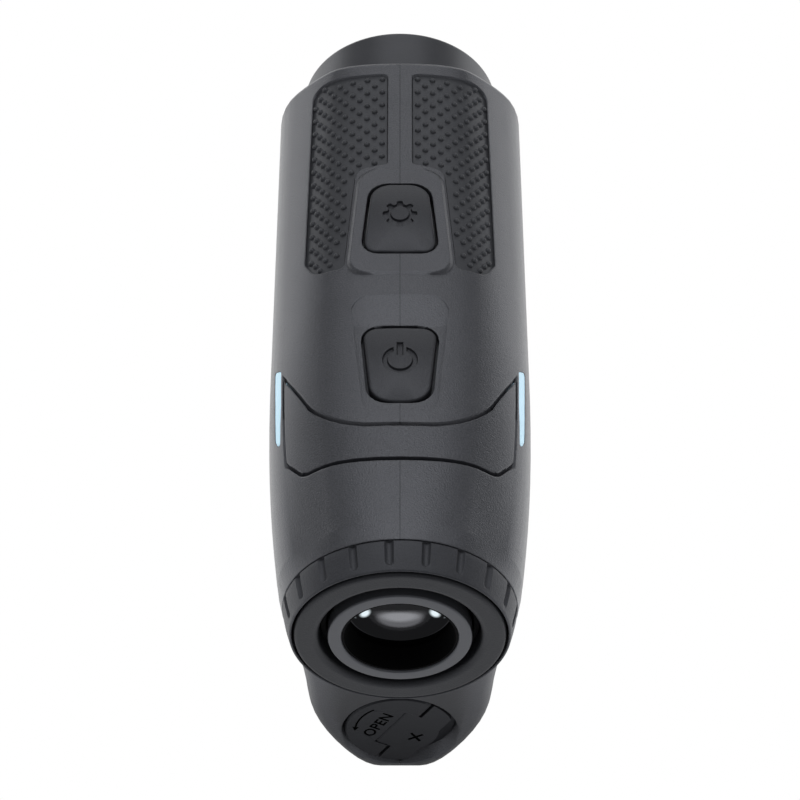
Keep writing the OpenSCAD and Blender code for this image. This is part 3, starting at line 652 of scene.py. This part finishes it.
for side in ("left", "right"):
    half = newPiece(side + "Housing", closeSeam(copyOf(side + "_housing")), "housing", "housingPlastic",
                    (side + "_housing",), crease=28, even=False)
    followSkin(half, *housingForm["levels"])
    accent = newPiece(side + "Accent", copyOf(side + "_accent"), "housing", "accentPlastic",
                      (side + "_accent",), even=False)
    followSkin(accent, housingForm["accentLevel"])
band = newPiece("topBand", drawIn(copyOf("top_band"), housingForm["bandStep"]), "housing", "bandPlastic",
                ("top_band",), even=False)
followSkin(band, housingForm["bandLevel"], reach=housingForm["bandReach"])
print("housing, band and accents set")

# grip pads with their nubs, in millimetres: rows counts the nubs from the front row, back and forward
nubs = {"columns": (2.96, 4.2, 5.46, 6.72, 7.93, 9.11, 10.13, 11.15, 11.95, 12.81, 13.56, 14.3),
        "rows": (-15, 2), "pitch": 3.065, "shrink": 0.0065, "sweep": 0.0155, "radius": 0.50, "rise": 0.52,
        "sides": 16, "rings": 8, "cutBelow": -0.1, "sunk": 0.03, "margin": 0.62, "padDeep": 0.45,
        "padSpan": (50, 110)}
nubs["row"] = unplace(placed("frontNub", nodes["right_grip_pad"]))[1]
padEdge = ((2.1, 102.2), (14.9, 102.2), (15.4, 61.8), (13.4, 58.4), (8.9, 58.4), (7.2, 80.0), (2.1, 81.0))


def insideBy(point, edge):
    # how far a place in plan lies inside an outline, less than nothing outside it
    near, crossings = math.inf, 0
    for a, b in zip(edge, edge[1:] + edge[:1]):
        a, b = Vector(a), Vector(b)
        share = max(0, min(1, (point - a).dot(b - a) / (b - a).length_squared))
        near = min(near, (point - a.lerp(b, share)).length)
        if (a.y > point.y) != (b.y > point.y):
            crossings += point.x < a.x + (b.x - a.x) * (point.y - a.y) / (b.y - a.y)
    return near if crossings % 2 else -near


def nubPlaces(s):
    # columns run along the pad, each other one shifted by half a step, and rows sweep back to the side
    for column, x in enumerate(s["columns"]):
        start = s["row"] - s["sweep"] * (x - s["columns"][0]) ** 2 - (column % 2) * s["pitch"] / 2
        for k in range(*s["rows"]):
            d = start + s["pitch"] * k - s["shrink"] * k * abs(k)
            if insideBy(Vector((x, d)), padEdge) > s["margin"]:
                yield x, d


def padWithNubs(node, s, side):
    dome = bmesh.new()
    bmesh.ops.create_uvsphere(dome, u_segments=s["sides"], v_segments=s["rings"], radius=1)
    bmesh.ops.delete(dome, geom=[v for v in dome.verts if v.co.z < s["cutBelow"]], context="VERTS")
    domeMesh = meshFrom("nub", dome)
    bm = bmesh.new()
    for x, d in nubPlaces(s):
        section = sectionAt(d)
        t = nearestT(section, x, skinHeight(x, d))
        foot = skinPoint(section, t, -s["padDeep"] - s["sunk"])
        known = len(bm.verts)
        bm.from_mesh(domeMesh)
        bm.verts.ensure_lookup_table()
        turn = skinNormal(d, t, side).to_track_quat("Z", "Y").to_matrix().to_4x4()
        size = Matrix.Diagonal((s["radius"] * mm, s["radius"] * mm, s["rise"] * mm, 1))
        spot = Matrix.Translation(place(side * foot.x, d, foot.y)) @ turn @ size
        bmesh.ops.transform(bm, matrix=spot, verts=bm.verts[known:])
    bpy.data.meshes.remove(domeMesh)
    bm.from_mesh(nodes[node].data)
    bmesh.ops.remove_doubles(bm, verts=bm.verts, dist=1e-7)
    return bm


for sideName, side in (("left", -1), ("right", 1)):
    pad = newPiece(sideName + "Pad", padWithNubs(sideName + "_grip_pad", nubs, side), "housing", "gripRubber",
                   (sideName + "_grip_pad",), even=False)
    followSkin(pad, (-nubs["padDeep"], -nubs["padDeep"], *nubs["padSpan"]))
print("grip pads set,", 2 * sum(1 for spot in nubPlaces(nubs)), "nubs")

# buttons: a fan-shaped hollow, (depth, half width at the icon, at the rear), runs back from each icon
buttons = {
    "mode": {"rear": 61.18, "front": 75.72, "rearHalf": 5.82, "frontHalf": 4.47, "rearRound": 2.2,
             "frontRound": 3.0, "top": 19.55, "fan": (0.30, 1.6, 4.2)},
    "power": {"rear": 31.38, "front": 45.92, "rearHalf": 4.47, "frontHalf": 5.82, "rearRound": 3.0,
              "frontRound": 2.4, "top": 18.35, "fan": (0.30, 1.2, 2.8)},
}
buttons["mode"]["iconAt"] = unplace(placed("gearIcon", nodes["mode_button"]))[1]
buttons["power"]["iconAt"] = unplace(placed("powerIcon", nodes["power_button"]))[1]
buttonForm = {"domeRadius": 44, "domeAt": 0.55, "steps": 360, "iconRadius": 3.7, "iconRings": 60,
              "midRings": 12, "rimRadius": 0.32, "rimRings": 6, "foot": 15.95, "flange": 0.9, "base": 15.3,
              "engraved": 0.42, "wall": 0.05, "fanFrom": 2.4, "farthest": 12}
# the sunk icons, in millimetres; the higher square is, the steeper the sides of the gear's lobes
gear = {"radius": 2.34, "lobe": 0.36, "lobes": 8, "square": 2.6, "hub": 1.47}
powerSign = {"outer": 2.67, "inner": 1.9, "opening": 1.03, "barHalf": 0.46, "barFrom": 0.9, "barTo": 3.5}


def overStep(low, high, value):
    share = max(0, min(1, (value - low) / (high - low)))
    return share * share * (3 - 2 * share)


def within(limit, value):
    # one below the limit and nothing above it, with the engraving's sloped wall between
    return overStep(limit + buttonForm["wall"], limit - buttonForm["wall"], value)


def past(limit, value):
    return overStep(limit - buttonForm["wall"], limit + buttonForm["wall"], value)


def gearDepth(x, v):
    # a lobed wheel sunk round a hub that stays proud
    r, angle, square = math.hypot(x, v), math.atan2(v, x), gear["square"]
    lobe = gear["lobe"] * math.tanh(square * math.cos(gear["lobes"] * angle)) / math.tanh(square)
    return within(gear["radius"] + lobe, r) * past(gear["hub"], r)


def powerDepth(x, v):
    # a ring open at the front, and a bar through the opening
    s, r = powerSign, math.hypot(x, v)
    ring = within(s["outer"], r) * past(s["inner"], r)
    if v > 0:
        ring *= past(s["opening"], abs(x))
    return max(ring, within(s["barHalf"], abs(x)) * past(s["barFrom"], v) * within(s["barTo"], v))


iconDepth = {"mode": gearDepth, "power": powerDepth}


def rimBy(s, x, d):
    # signed distance over the button's outline, a trapezoid with round corners
    lean = (s["frontHalf"] - s["rearHalf"]) / (s["front"] - s["rear"])
    flank = (abs(x) - s["rearHalf"] - lean * (d - s["rear"])) / math.hypot(1, lean)
    far = -math.inf
    for end, r in ((s["rear"] - d, s["rearRound"]), (d - s["front"], s["frontRound"])):
        corner = math.hypot(flank + r, end + r) - r if min(flank, end) > -r else max(flank, end)
        far = max(far, corner)
    return far


def reachOf(s, angle, inset):
    # how far the outline, drawn in by inset, lies from the icon's middle
    def inside(r):
        return rimBy(s, r * math.cos(angle), s["iconAt"] + r * math.sin(angle)) < -inset
    return halved(0, buttonForm["farthest"], inside, halvings=24)


def topHeight(s, icon, x, d):
    # a dome, less the fan, the icon and the rounding at the rim
    f = buttonForm
    middle = s["rear"] + f["domeAt"] * (s["front"] - s["rear"])
    z = s["top"] - f["domeRadius"] + math.sqrt(f["domeRadius"] ** 2 - x * x - (d - middle) ** 2)
    drop, narrow, wide = s["fan"]
    run = max(0, (s["iconAt"] - f["fanFrom"] - d) / (s["iconAt"] - f["fanFrom"] - s["rear"]))
    half = narrow + (wide - narrow) * run
    z -= drop * run ** 2 * max(0, 1 - (x / half) ** 2) ** 2
    z -= f["engraved"] * iconDepth[icon](x, d - s["iconAt"])
    inside = -rimBy(s, x, d)
    if inside < f["rimRadius"]:
        z -= f["rimRadius"] - math.sqrt(max(0, f["rimRadius"] ** 2 - (f["rimRadius"] - inside) ** 2))
    return z


def outlineOf(bm, spots, closed=False):
    # vertices joined in turn by edges
    line = [bm.verts.new(spot) for spot in spots]
    for a, b in zip(line, line[1:] + line[:1] if closed else line[1:]):
        bm.edges.new((a, b))
    return line


def spun(bm, centre, axis, dist, angle=fullTurn, **settings):
    # everything in the bmesh is turned about an axis, and what meets is merged
    everything = bm.verts[:] + bm.edges[:] + bm.faces[:]
    bmesh.ops.spin(bm, geom=everything, cent=centre, axis=axis, angle=angle, **settings)
    bmesh.ops.remove_doubles(bm, verts=bm.verts, dist=dist)
    return bm


def buttonMesh(name, s):
    # rings round the icon: plain circles, then a blend out to the rim, then the wall and the flange
    f = buttonForm
    bm = bmesh.new()
    midEnd = f["iconRings"] + f["midRings"]
    rimEnd = midEnd + f["rimRings"]
    outlineOf(bm, [(k, 0, 0) for k in range(rimEnd + 4)])
    spun(bm, (0, 0, 0), (0, 0, 1), 1e-4, steps=f["steps"], use_merge=True)
    insets = [f["rimRadius"] * (1 - math.sin(0.5 * math.pi * k / f["rimRings"]))
              for k in range(f["rimRings"] + 1)] + [-f["flange"]]
    reaches = {}
    for v in bm.verts:
        ring, angle = round(v.co.length), math.atan2(v.co.y, v.co.x)
        key = round(angle * f["steps"] / fullTurn)
        if key not in reaches:
            reaches[key] = [reachOf(s, angle, inset) for inset in insets]
        spans = reaches[key]
        z = None
        if ring <= f["iconRings"]:
            r = f["iconRadius"] * ring / f["iconRings"]
        elif ring <= midEnd:
            share = (ring - f["iconRings"]) / f["midRings"]
            r = f["iconRadius"] + (spans[0] - f["iconRadius"]) * share
        elif ring <= rimEnd:
            r = spans[ring - midEnd]
        else:
            # the wall's foot, the flange's edge above and its edge below
            r = spans[-2] if ring == rimEnd + 1 else spans[-1]
            z = f["foot"] if ring < rimEnd + 3 else f["base"]
        x, d = r * math.cos(angle), s["iconAt"] + r * math.sin(angle)
        v.co = place(x, d, topHeight(s, name, x, d) if z is None else z)
    bmesh.ops.holes_fill(bm, edges=[e for e in bm.edges if e.is_boundary], sides=0)
    return bm


for buttonName, s in buttons.items():
    newPiece(buttonName + "Button", buttonMesh(buttonName, s), buttonName + "_button", "buttonPlastic",
             (buttonName + "_button",), crease=50, even=False)
print("buttons set")

# eyepiece: closed profiles of (radius, d) corners that turn about the axis, with a rounding for each
eyepiece = {
    "eyecupRubber": {
        "node": "eyecup", "body": "eyecup", "paint": "cupRubber", "slot": "cup_rubber",
        "profile": ((12.7, 0.0), (15.45, 0.0), (15.8, 0.4), (15.8, 8.6), (13.4, 8.6), (13.4, 7.2),
                    (12.1, 7.2), (12.1, 0.6)),
        "rounds": (0.45, 0.35, 0.3, 0.2, 0, 0, 0, 0.3)},
    "ocularRing": {
        "node": "ocular_ring", "body": "ocular", "paint": "ocularPlastic", "slot": "ocular_metal",
        "profile": ((8.7, 0.2), (8.9, 0.0), (10.55, 0.0), (10.74, 0.2), (10.74, 2.4), (8.7, 2.4)),
        "rounds": (0.1, 0.1, 0.1, 0.1, 0, 0)},
    "eyepieceBarrel": {
        "node": "eyepiece_barrel", "body": "ocular", "paint": "opticBlack", "slot": "black_optic",
        "profile": ((8.35, 0.3), (8.65, 0.3), (8.65, 2.5), (10.7, 2.5), (10.7, 23.5), (8.6, 23.5),
                    (8.6, 22.5), (8.05, 22.5), (8.05, 4.0), (7.55, 3.8)),
        "rounds": ()},
}
# the ring's flutes lie beyond one radius and before one place ahead, and go no deeper than a share of r
dioptre = {
    "profile": ((16.1, 0.5), (16.3, 0.3), (16.5, 0.5), (17.2, 3.0), (17.5, 4.6), (17.5, 5.1), (16.6, 5.1),
                (16.6, 8.2), (16.1, 8.2)),
    "rounds": (0, 0.1, 0.12, 1.2, 0.3, 0.12, 0, 0, 0),
    "flutes": 20, "phase": 5.2 - 90, "radius": 0.65, "at": 17.05, "start": 1.75, "tilt": 10.5,
    "beyond": 16.45, "before": 5.05, "deepest": 0.955, "steps": 36, "row": 0.16,
}


def turnedMesh(s, steps=192, row=None, turn=fullTurn):
    # the profile is rounded off, cut into rows where they are asked for, and turned about the axis
    bm = bmesh.new()
    z = s.get("z", 0)
    line = outlineOf(bm, [place(r, d, z) for r, d in s["profile"]], closed=True)
    for radius in sorted(set(s["rounds"]) - {0}):
        group = [v for v, own in zip(line, s["rounds"]) if own == radius]
        bmesh.ops.bevel(bm, geom=group, offset=radius * mm, affect="VERTICES", segments=6, profile=0.5)
    if row:
        for edge in bm.edges[:]:
            cuts = int(edge.calc_length() / (row * mm))
            if cuts:
                bmesh.ops.subdivide_edges(bm, edges=[edge], cuts=cuts)
    return spun(bm, place(0, 0, z), (0, 1, 0), 1e-6, turn, steps=steps, use_merge=turn == fullTurn)


def cutFlutes(bm, s):
    # each flute is a round-ended groove that runs forward and out along the ring's flank
    tilt = math.radians(s["tilt"])
    along = Vector((math.sin(tilt), math.cos(tilt)))
    pitch = fullTurn / s["flutes"]
    for v in bm.verts:
        x, d, z = unplace(v.co)
        r = math.hypot(x, z)
        if r < s["beyond"] or d > s["before"]:
            continue
        angle = math.atan2(z, x) - math.radians(s["phase"])
        off = (angle + pitch / 2) % pitch - pitch / 2
        run = max(0, (Vector((r, d)) - Vector((s["at"], s["start"]))).dot(along))
        middle = Vector((s["at"], s["start"])) + run * along
        side, ahead = r * math.sin(off), d - middle.y
        space = s["radius"] ** 2 - side ** 2 - ahead ** 2
        if space > 0:
            lower = middle.x - math.sqrt(space)
            if lower < r * math.cos(off):
                share = max(s["deepest"], lower / (r * math.cos(off)))
                v.co = place(x * share, d, z * share)


def flutedRing(s):
    # one flute's share of the ring, cut and then repeated round the axis
    share = fullTurn / s["flutes"]
    bm = turnedMesh(s, steps=s["steps"], row=s["row"], turn=share)
    cutFlutes(bm, s)
    return spun(bm, place(0, 0, 0), (0, 1, 0), 2e-6, fullTurn - share, steps=s["flutes"] - 1,
                use_duplicate=True)


def makeTurned(group):
    for name, s in group.items():
        newPiece(name, turnedMesh(s), s["body"], s["paint"], (s["node"],), crease=40)


newPiece("dioptreRing", flutedRing(dioptre), "dioptre_ring", "ringPlastic", ("dioptre_ring",),
         crease=48, even=False)
makeTurned(eyepiece)
print("eyepiece set")

# lenses: rear and front are the faces' radii
lenses = {
    "eyeLens": {"node": "eye_lens", "body": "ocular", "at": 2.6, "radius": 7.95, "thick": 6.2,
                "rear": 13, "front": 40, "z": 0, "paint": "eyeGlass"},
    "fieldLens": {"node": "field_lens", "body": "ocular", "at": 15, "radius": 7.95, "thick": 5,
                  "rear": 34, "front": 24, "z": 0, "paint": "lensGlass"},
    "objectiveLens": {"node": "objective_front_lens", "body": "housing", "at": 91, "radius": 13.5, "thick": 5,
                      "rear": 90, "front": 42, "z": 0, "paint": "lensGlass"},
    "emitterLens": {"node": "emitter_lens", "body": "housing", "at": 98, "radius": 8.1, "thick": 4,
                    "rear": 60, "front": 26, "z": -32.5, "paint": "lensGlass"},
}


def lensMesh(s, rings=14, steps=128):
    # two spherical faces met by a ground edge
    def sag(radius, r):
        return radius - math.sqrt(radius ** 2 - r ** 2)
    spans = [s["radius"] * k / rings for k in range(rings + 1)]
    rear = [(r, s["at"] + sag(s["rear"], r)) for r in spans]
    front = [(r, s["at"] + s["thick"] - sag(s["front"], r)) for r in reversed(spans)]
    bm = bmesh.new()
    outlineOf(bm, [place(r, d, s["z"]) for r, d in rear + front])
    return spun(bm, place(0, 0, s["z"]), (0, 1, 0), 1e-6, steps=steps, use_merge=True)


for lensName, s in lenses.items():
    newPiece(lensName, lensMesh(s), s["body"], s["paint"], (s["node"],), crease=30, even=False)
print("lenses set")

# the front's openings: the objective's hood and the emitter's bezel
fronts = {
    "hood": {
        "node": "objective_hood", "body": "housing", "paint": "hoodPlastic", "slot": "hood_polymer",
        "profile": ((15.2, 98.5), (13.6, 98.5), (14.6, 107.0), (15.5, 113.9), (16.1, 114.5), (16.4, 114.5),
                    (16.7, 114.1), (17.25, 105.6), (15.2, 105.6)),
        "rounds": (0, 0, 3, 0.4, 0.2, 0.2, 0.4, 0.08, 0)},
    "bezel": {
        "node": "emitter_bezel", "body": "housing", "paint": "hoodPlastic", "slot": "hood_polymer",
        "z": -32.5,
        "profile": ((8.3, 102.9), (9.4, 102.9), (9.4, 105.5), (10.6, 105.5), (10.6, 106.0), (10.2, 106.3),
                    (8.9, 106.3), (8.3, 105.2)),
        "rounds": (0, 0, 0, 0, 0.15, 0.2, 0.2, 0.3)},
}
makeTurned(fronts)
print("hood and bezel set")

# battery door and its tab: marks in millimetres from the door's axis, turned in degrees; capHeight is the
# height of the font's capitals as a share of its size
doorMarks = {"deep": 0.30, "slim": 0.972, "crease": 24, "word": "OPEN", "wordTall": 1.85, "wordTurn": 59.2,
             "capHeight": 0.70, "spacing": 1.06, "bold": 0.03, "wordHalf": (4.2, 1.2), "plusArm": 1.38,
             "plusThick": 0.46, "plusTurn": 30.8, "plusHalf": (1.6, 1.6), "arcRadius": 7.2, "arcFrom": 125,
             "arcTo": 172, "arcThick": 0.32, "headLong": 1.1, "headHalf": 0.55}
for mark, point, carrier in (("wordAt", "openWord", "battery_door"), ("plusAt", "plusSign", "door_tab")):
    spot = placed(point, nodes[carrier])
    doorMarks[mark] = (spot.x / mm, (spot.z - doorHeight) / mm)


def flatCutter(name, bm):
    # a flat outline becomes a prism that reaches through the face
    deep = doorMarks["deep"]
    bmesh.ops.recalc_face_normals(bm, faces=bm.faces)
    made = bmesh.ops.extrude_face_region(bm, geom=bm.faces[:])
    moved = [g for g in made["geom"] if isinstance(g, bmesh.types.BMVert)]
    bmesh.ops.translate(bm, verts=moved, vec=(0, 0, 2 * deep))
    bmesh.ops.translate(bm, verts=bm.verts, vec=(0, 0, -deep))
    bmesh.ops.recalc_face_normals(bm, faces=bm.faces)
    # from the marks' plane, z towards the user, to the door's face
    toFace = Matrix(((mm, 0, 0, 0), (0, 0, -mm, doorFace), (0, mm, 0, doorHeight), (0, 0, 0, 1)))
    bmesh.ops.transform(bm, matrix=toFace, verts=bm.verts)
    mesh = meshFrom(name, bm)
    # the cut's walls and floor take this near-black paint: painted shade in the grooves
    mesh.materials.append(paints["grooveShadePaint"])
    return addObject(name, mesh)


def turnedTo(bm, at, degrees):
    turn = Matrix.Rotation(math.radians(degrees), 4, "Z")
    bmesh.ops.transform(bm, matrix=Matrix.Translation((*at, 0)) @ turn, verts=bm.verts)
    return bm


def wordShape(s):
    curve = bpy.data.curves.new("word", "FONT")
    curve.body = s["word"]
    curve.size = s["wordTall"] / s["capHeight"]
    curve.space_character = s["spacing"]
    curve.align_x = "CENTER"
    curve.align_y = "CENTER"
    curve.offset = s["bold"] * s["wordTall"]
    holder = bpy.data.objects.new("word", curve)
    flat = bpy.data.meshes.new_from_object(holder)
    bm = bmesh.new()
    bm.from_mesh(flat)
    bmesh.ops.remove_doubles(bm, verts=bm.verts, dist=1e-4)
    bpy.data.objects.remove(holder)
    bpy.data.curves.remove(curve)
    bpy.data.meshes.remove(flat)
    return turnedTo(bm, s["wordAt"], s["wordTurn"])


def arrowShape(s, count=16):
    # an arc's outer and inner edge, joined by the arrow's head
    bm = bmesh.new()
    angles = [math.radians(s["arcFrom"] + (s["arcTo"] - s["arcFrom"]) * k / count) for k in range(count + 1)]
    edges = [[bm.verts.new((r * math.cos(a), r * math.sin(a), 0)) for a in angles]
             for r in (s["arcRadius"] + s["arcThick"] / 2, s["arcRadius"] - s["arcThick"] / 2)]
    last = angles[-1]
    out, on = Vector((math.cos(last), math.sin(last), 0)), Vector((-math.sin(last), math.cos(last), 0))
    middle = s["arcRadius"] * out
    head = [bm.verts.new(p) for p in (middle + s["headHalf"] * out, middle + s["headLong"] * on,
                                      middle - s["headHalf"] * out)]
    bm.faces.new(edges[0] + head + edges[1][::-1])
    return bm


def plusShape(s):
    bm = bmesh.new()
    a, b = s["plusArm"], s["plusThick"] / 2
    quarter = [(a, -b), (a, b), (b, b)]
    corners = [Matrix.Rotation(math.pi / 2 * k, 2) @ Vector(p) for k in range(4) for p in quarter]
    bm.faces.new([bm.verts.new((*p, 0)) for p in corners])
    return turnedTo(bm, s["plusAt"], s["plusTurn"])


def engraved(piece, cutters):
    # the marks are cut, and their walls and floors take the cutters' near-black paint, which is painted
    # shade; the cutters and the modifiers are gone again
    for cutter in cutters:
        cut = piece.modifiers.new("cut", "BOOLEAN")
        cut.operation = "DIFFERENCE"
        cut.solver = "EXACT"
        cut.material_mode = "TRANSFER"
        cut.object = cutter
    bpy.context.view_layer.update()
    marked = bpy.data.meshes.new_from_object(piece.evaluated_get(bpy.context.evaluated_depsgraph_get()))
    piece.modifiers.clear()
    plain = piece.data
    piece.data = marked
    bpy.data.meshes.remove(plain)
    for cutter in cutters:
        shape = cutter.data
        bpy.data.objects.remove(cutter)
        bpy.data.meshes.remove(shape)
    bm = bmesh.new()
    bm.from_mesh(marked)
    bmesh.ops.remove_doubles(bm, verts=bm.verts, dist=1e-6)
    bm.to_mesh(marked)
    bm.free()
    marked.shade_smooth()
    marked.set_sharp_from_angle(angle=math.radians(doorMarks["crease"]))
    evenShade(piece)


def slimmed(bm):
    # the door stands a little free of its ring, which shows as a dark line
    slim = Matrix.Diagonal((doorMarks["slim"], 1, doorMarks["slim"], 1))
    spot = Matrix.Translation((0, 0, doorHeight))
    bmesh.ops.transform(bm, matrix=spot @ slim @ spot.inverted(), verts=bm.verts)
    return bm


for doorName, node, body, marks in (
        ("batteryDoor", "battery_door", "door", {"wordCutter": wordShape, "arrowCutter": arrowShape}),
        ("doorTab", "door_tab", "door_tab", {"plusCutter": plusShape})):
    piece = newPiece(doorName, slimmed(copyOf(node)), body, "doorPlasticShaded", (node,),
                     even=False)
    engraved(piece, [flatCutter(mark, shape(doorMarks)) for mark, shape in marks.items()])
print("battery door set")

# where the image points' features show on the finished pieces: how far a ray starts from a surface, how near
# the face a mark's edge lies and how far up a button's top starts, in millimetres, and the share of its depth
# that is an icon's
sight = {"clear": 0.05, "nearFace": 0.02, "aboveFoot": 0.3, "sunkShare": 0.5}


def inView(spot):
    # whether nothing hides a place from the camera
    toward = camera.location - spot
    start = spot + toward.normalized() * sight["clear"] * mm
    return not bpy.context.scene.ray_cast(graph, start, toward.normalized(), distance=toward.length)[0]


def middleShown(piece, keep=lambda co: True):
    # the middle of what shows of a piece
    shown = [shownAt(v.co) for v in piece.data.vertices if keep(v.co) and inView(v.co)]
    return [(min(c) + max(c)) / 2 for c in zip(*shown)]


def sunk(name):
    # picks the vertices of a button's engraved icon
    icon, iconAt = iconDepth[name], buttons[name]["iconAt"]
    return lambda co: icon(co.x / mm, unplace(co)[1] - iconAt) > sight["sunkShare"]


def nearMark(node, mark):
    # picks the vertices along the outline of a mark on a face
    face, at, (long, tall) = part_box(node)[0].y, doorMarks[mark + "At"], doorMarks[mark + "Half"]
    turn = math.radians(doorMarks[mark + "Turn"])
    cos, sin = math.cos(turn), math.sin(turn)

    def keep(co):
        x, z = co.x / mm - at[0], (co.z - doorHeight) / mm - at[1]
        onFace = abs(co.y - face) < sight["nearFace"] * mm
        return abs(x * cos + z * sin) < long and abs(z * cos - x * sin) < tall and onFace
    return keep


graph = bpy.context.evaluated_depsgraph_get()
pieces = bpy.data.objects
shell = [shownAt(v.co) for name in ("leftHousing", "rightHousing", "hood")
         for v in pieces[name].data.vertices]
firstNub = [spot for spot in nubPlaces(nubs) if spot[0] == nubs["columns"][0]][-1]
found = {
    "leftSide": (min(shell)[0], imagePoints["leftSide"][1]),
    "rightSide": (max(shell)[0], imagePoints["rightSide"][1]),
    "hoodTop": (imagePoints["hoodTop"][0], min(y for x, y in shell)),
    "underside": (imagePoints["underside"][0], max(y for x, y in shell)),
    "gearIcon": middleShown(pieces["modeButton"], sunk("mode")),
    "powerIcon": middleShown(pieces["powerButton"], sunk("power")),
    "openWord": middleShown(pieces["batteryDoor"], nearMark("battery_door", "word")),
    "plusSign": middleShown(pieces["doorTab"], nearMark("door_tab", "plus")),
    "frontNub": middleShown(pieces["rightPad"], lambda co: math.hypot(
        co.x / mm - firstNub[0], unplace(co)[1] - firstNub[1]) < nubs["radius"]),
}
topFrom = buttonForm["foot"] + sight["aboveFoot"]
for name in ("modeButton", "powerButton"):
    found[name] = middleShown(pieces[name], lambda co: unplace(co)[2] > topFrom)
for name in ("topBand", "leftAccent", "rightAccent", "ocularRing", "batteryDoor"):
    found[name] = middleShown(pieces[name])
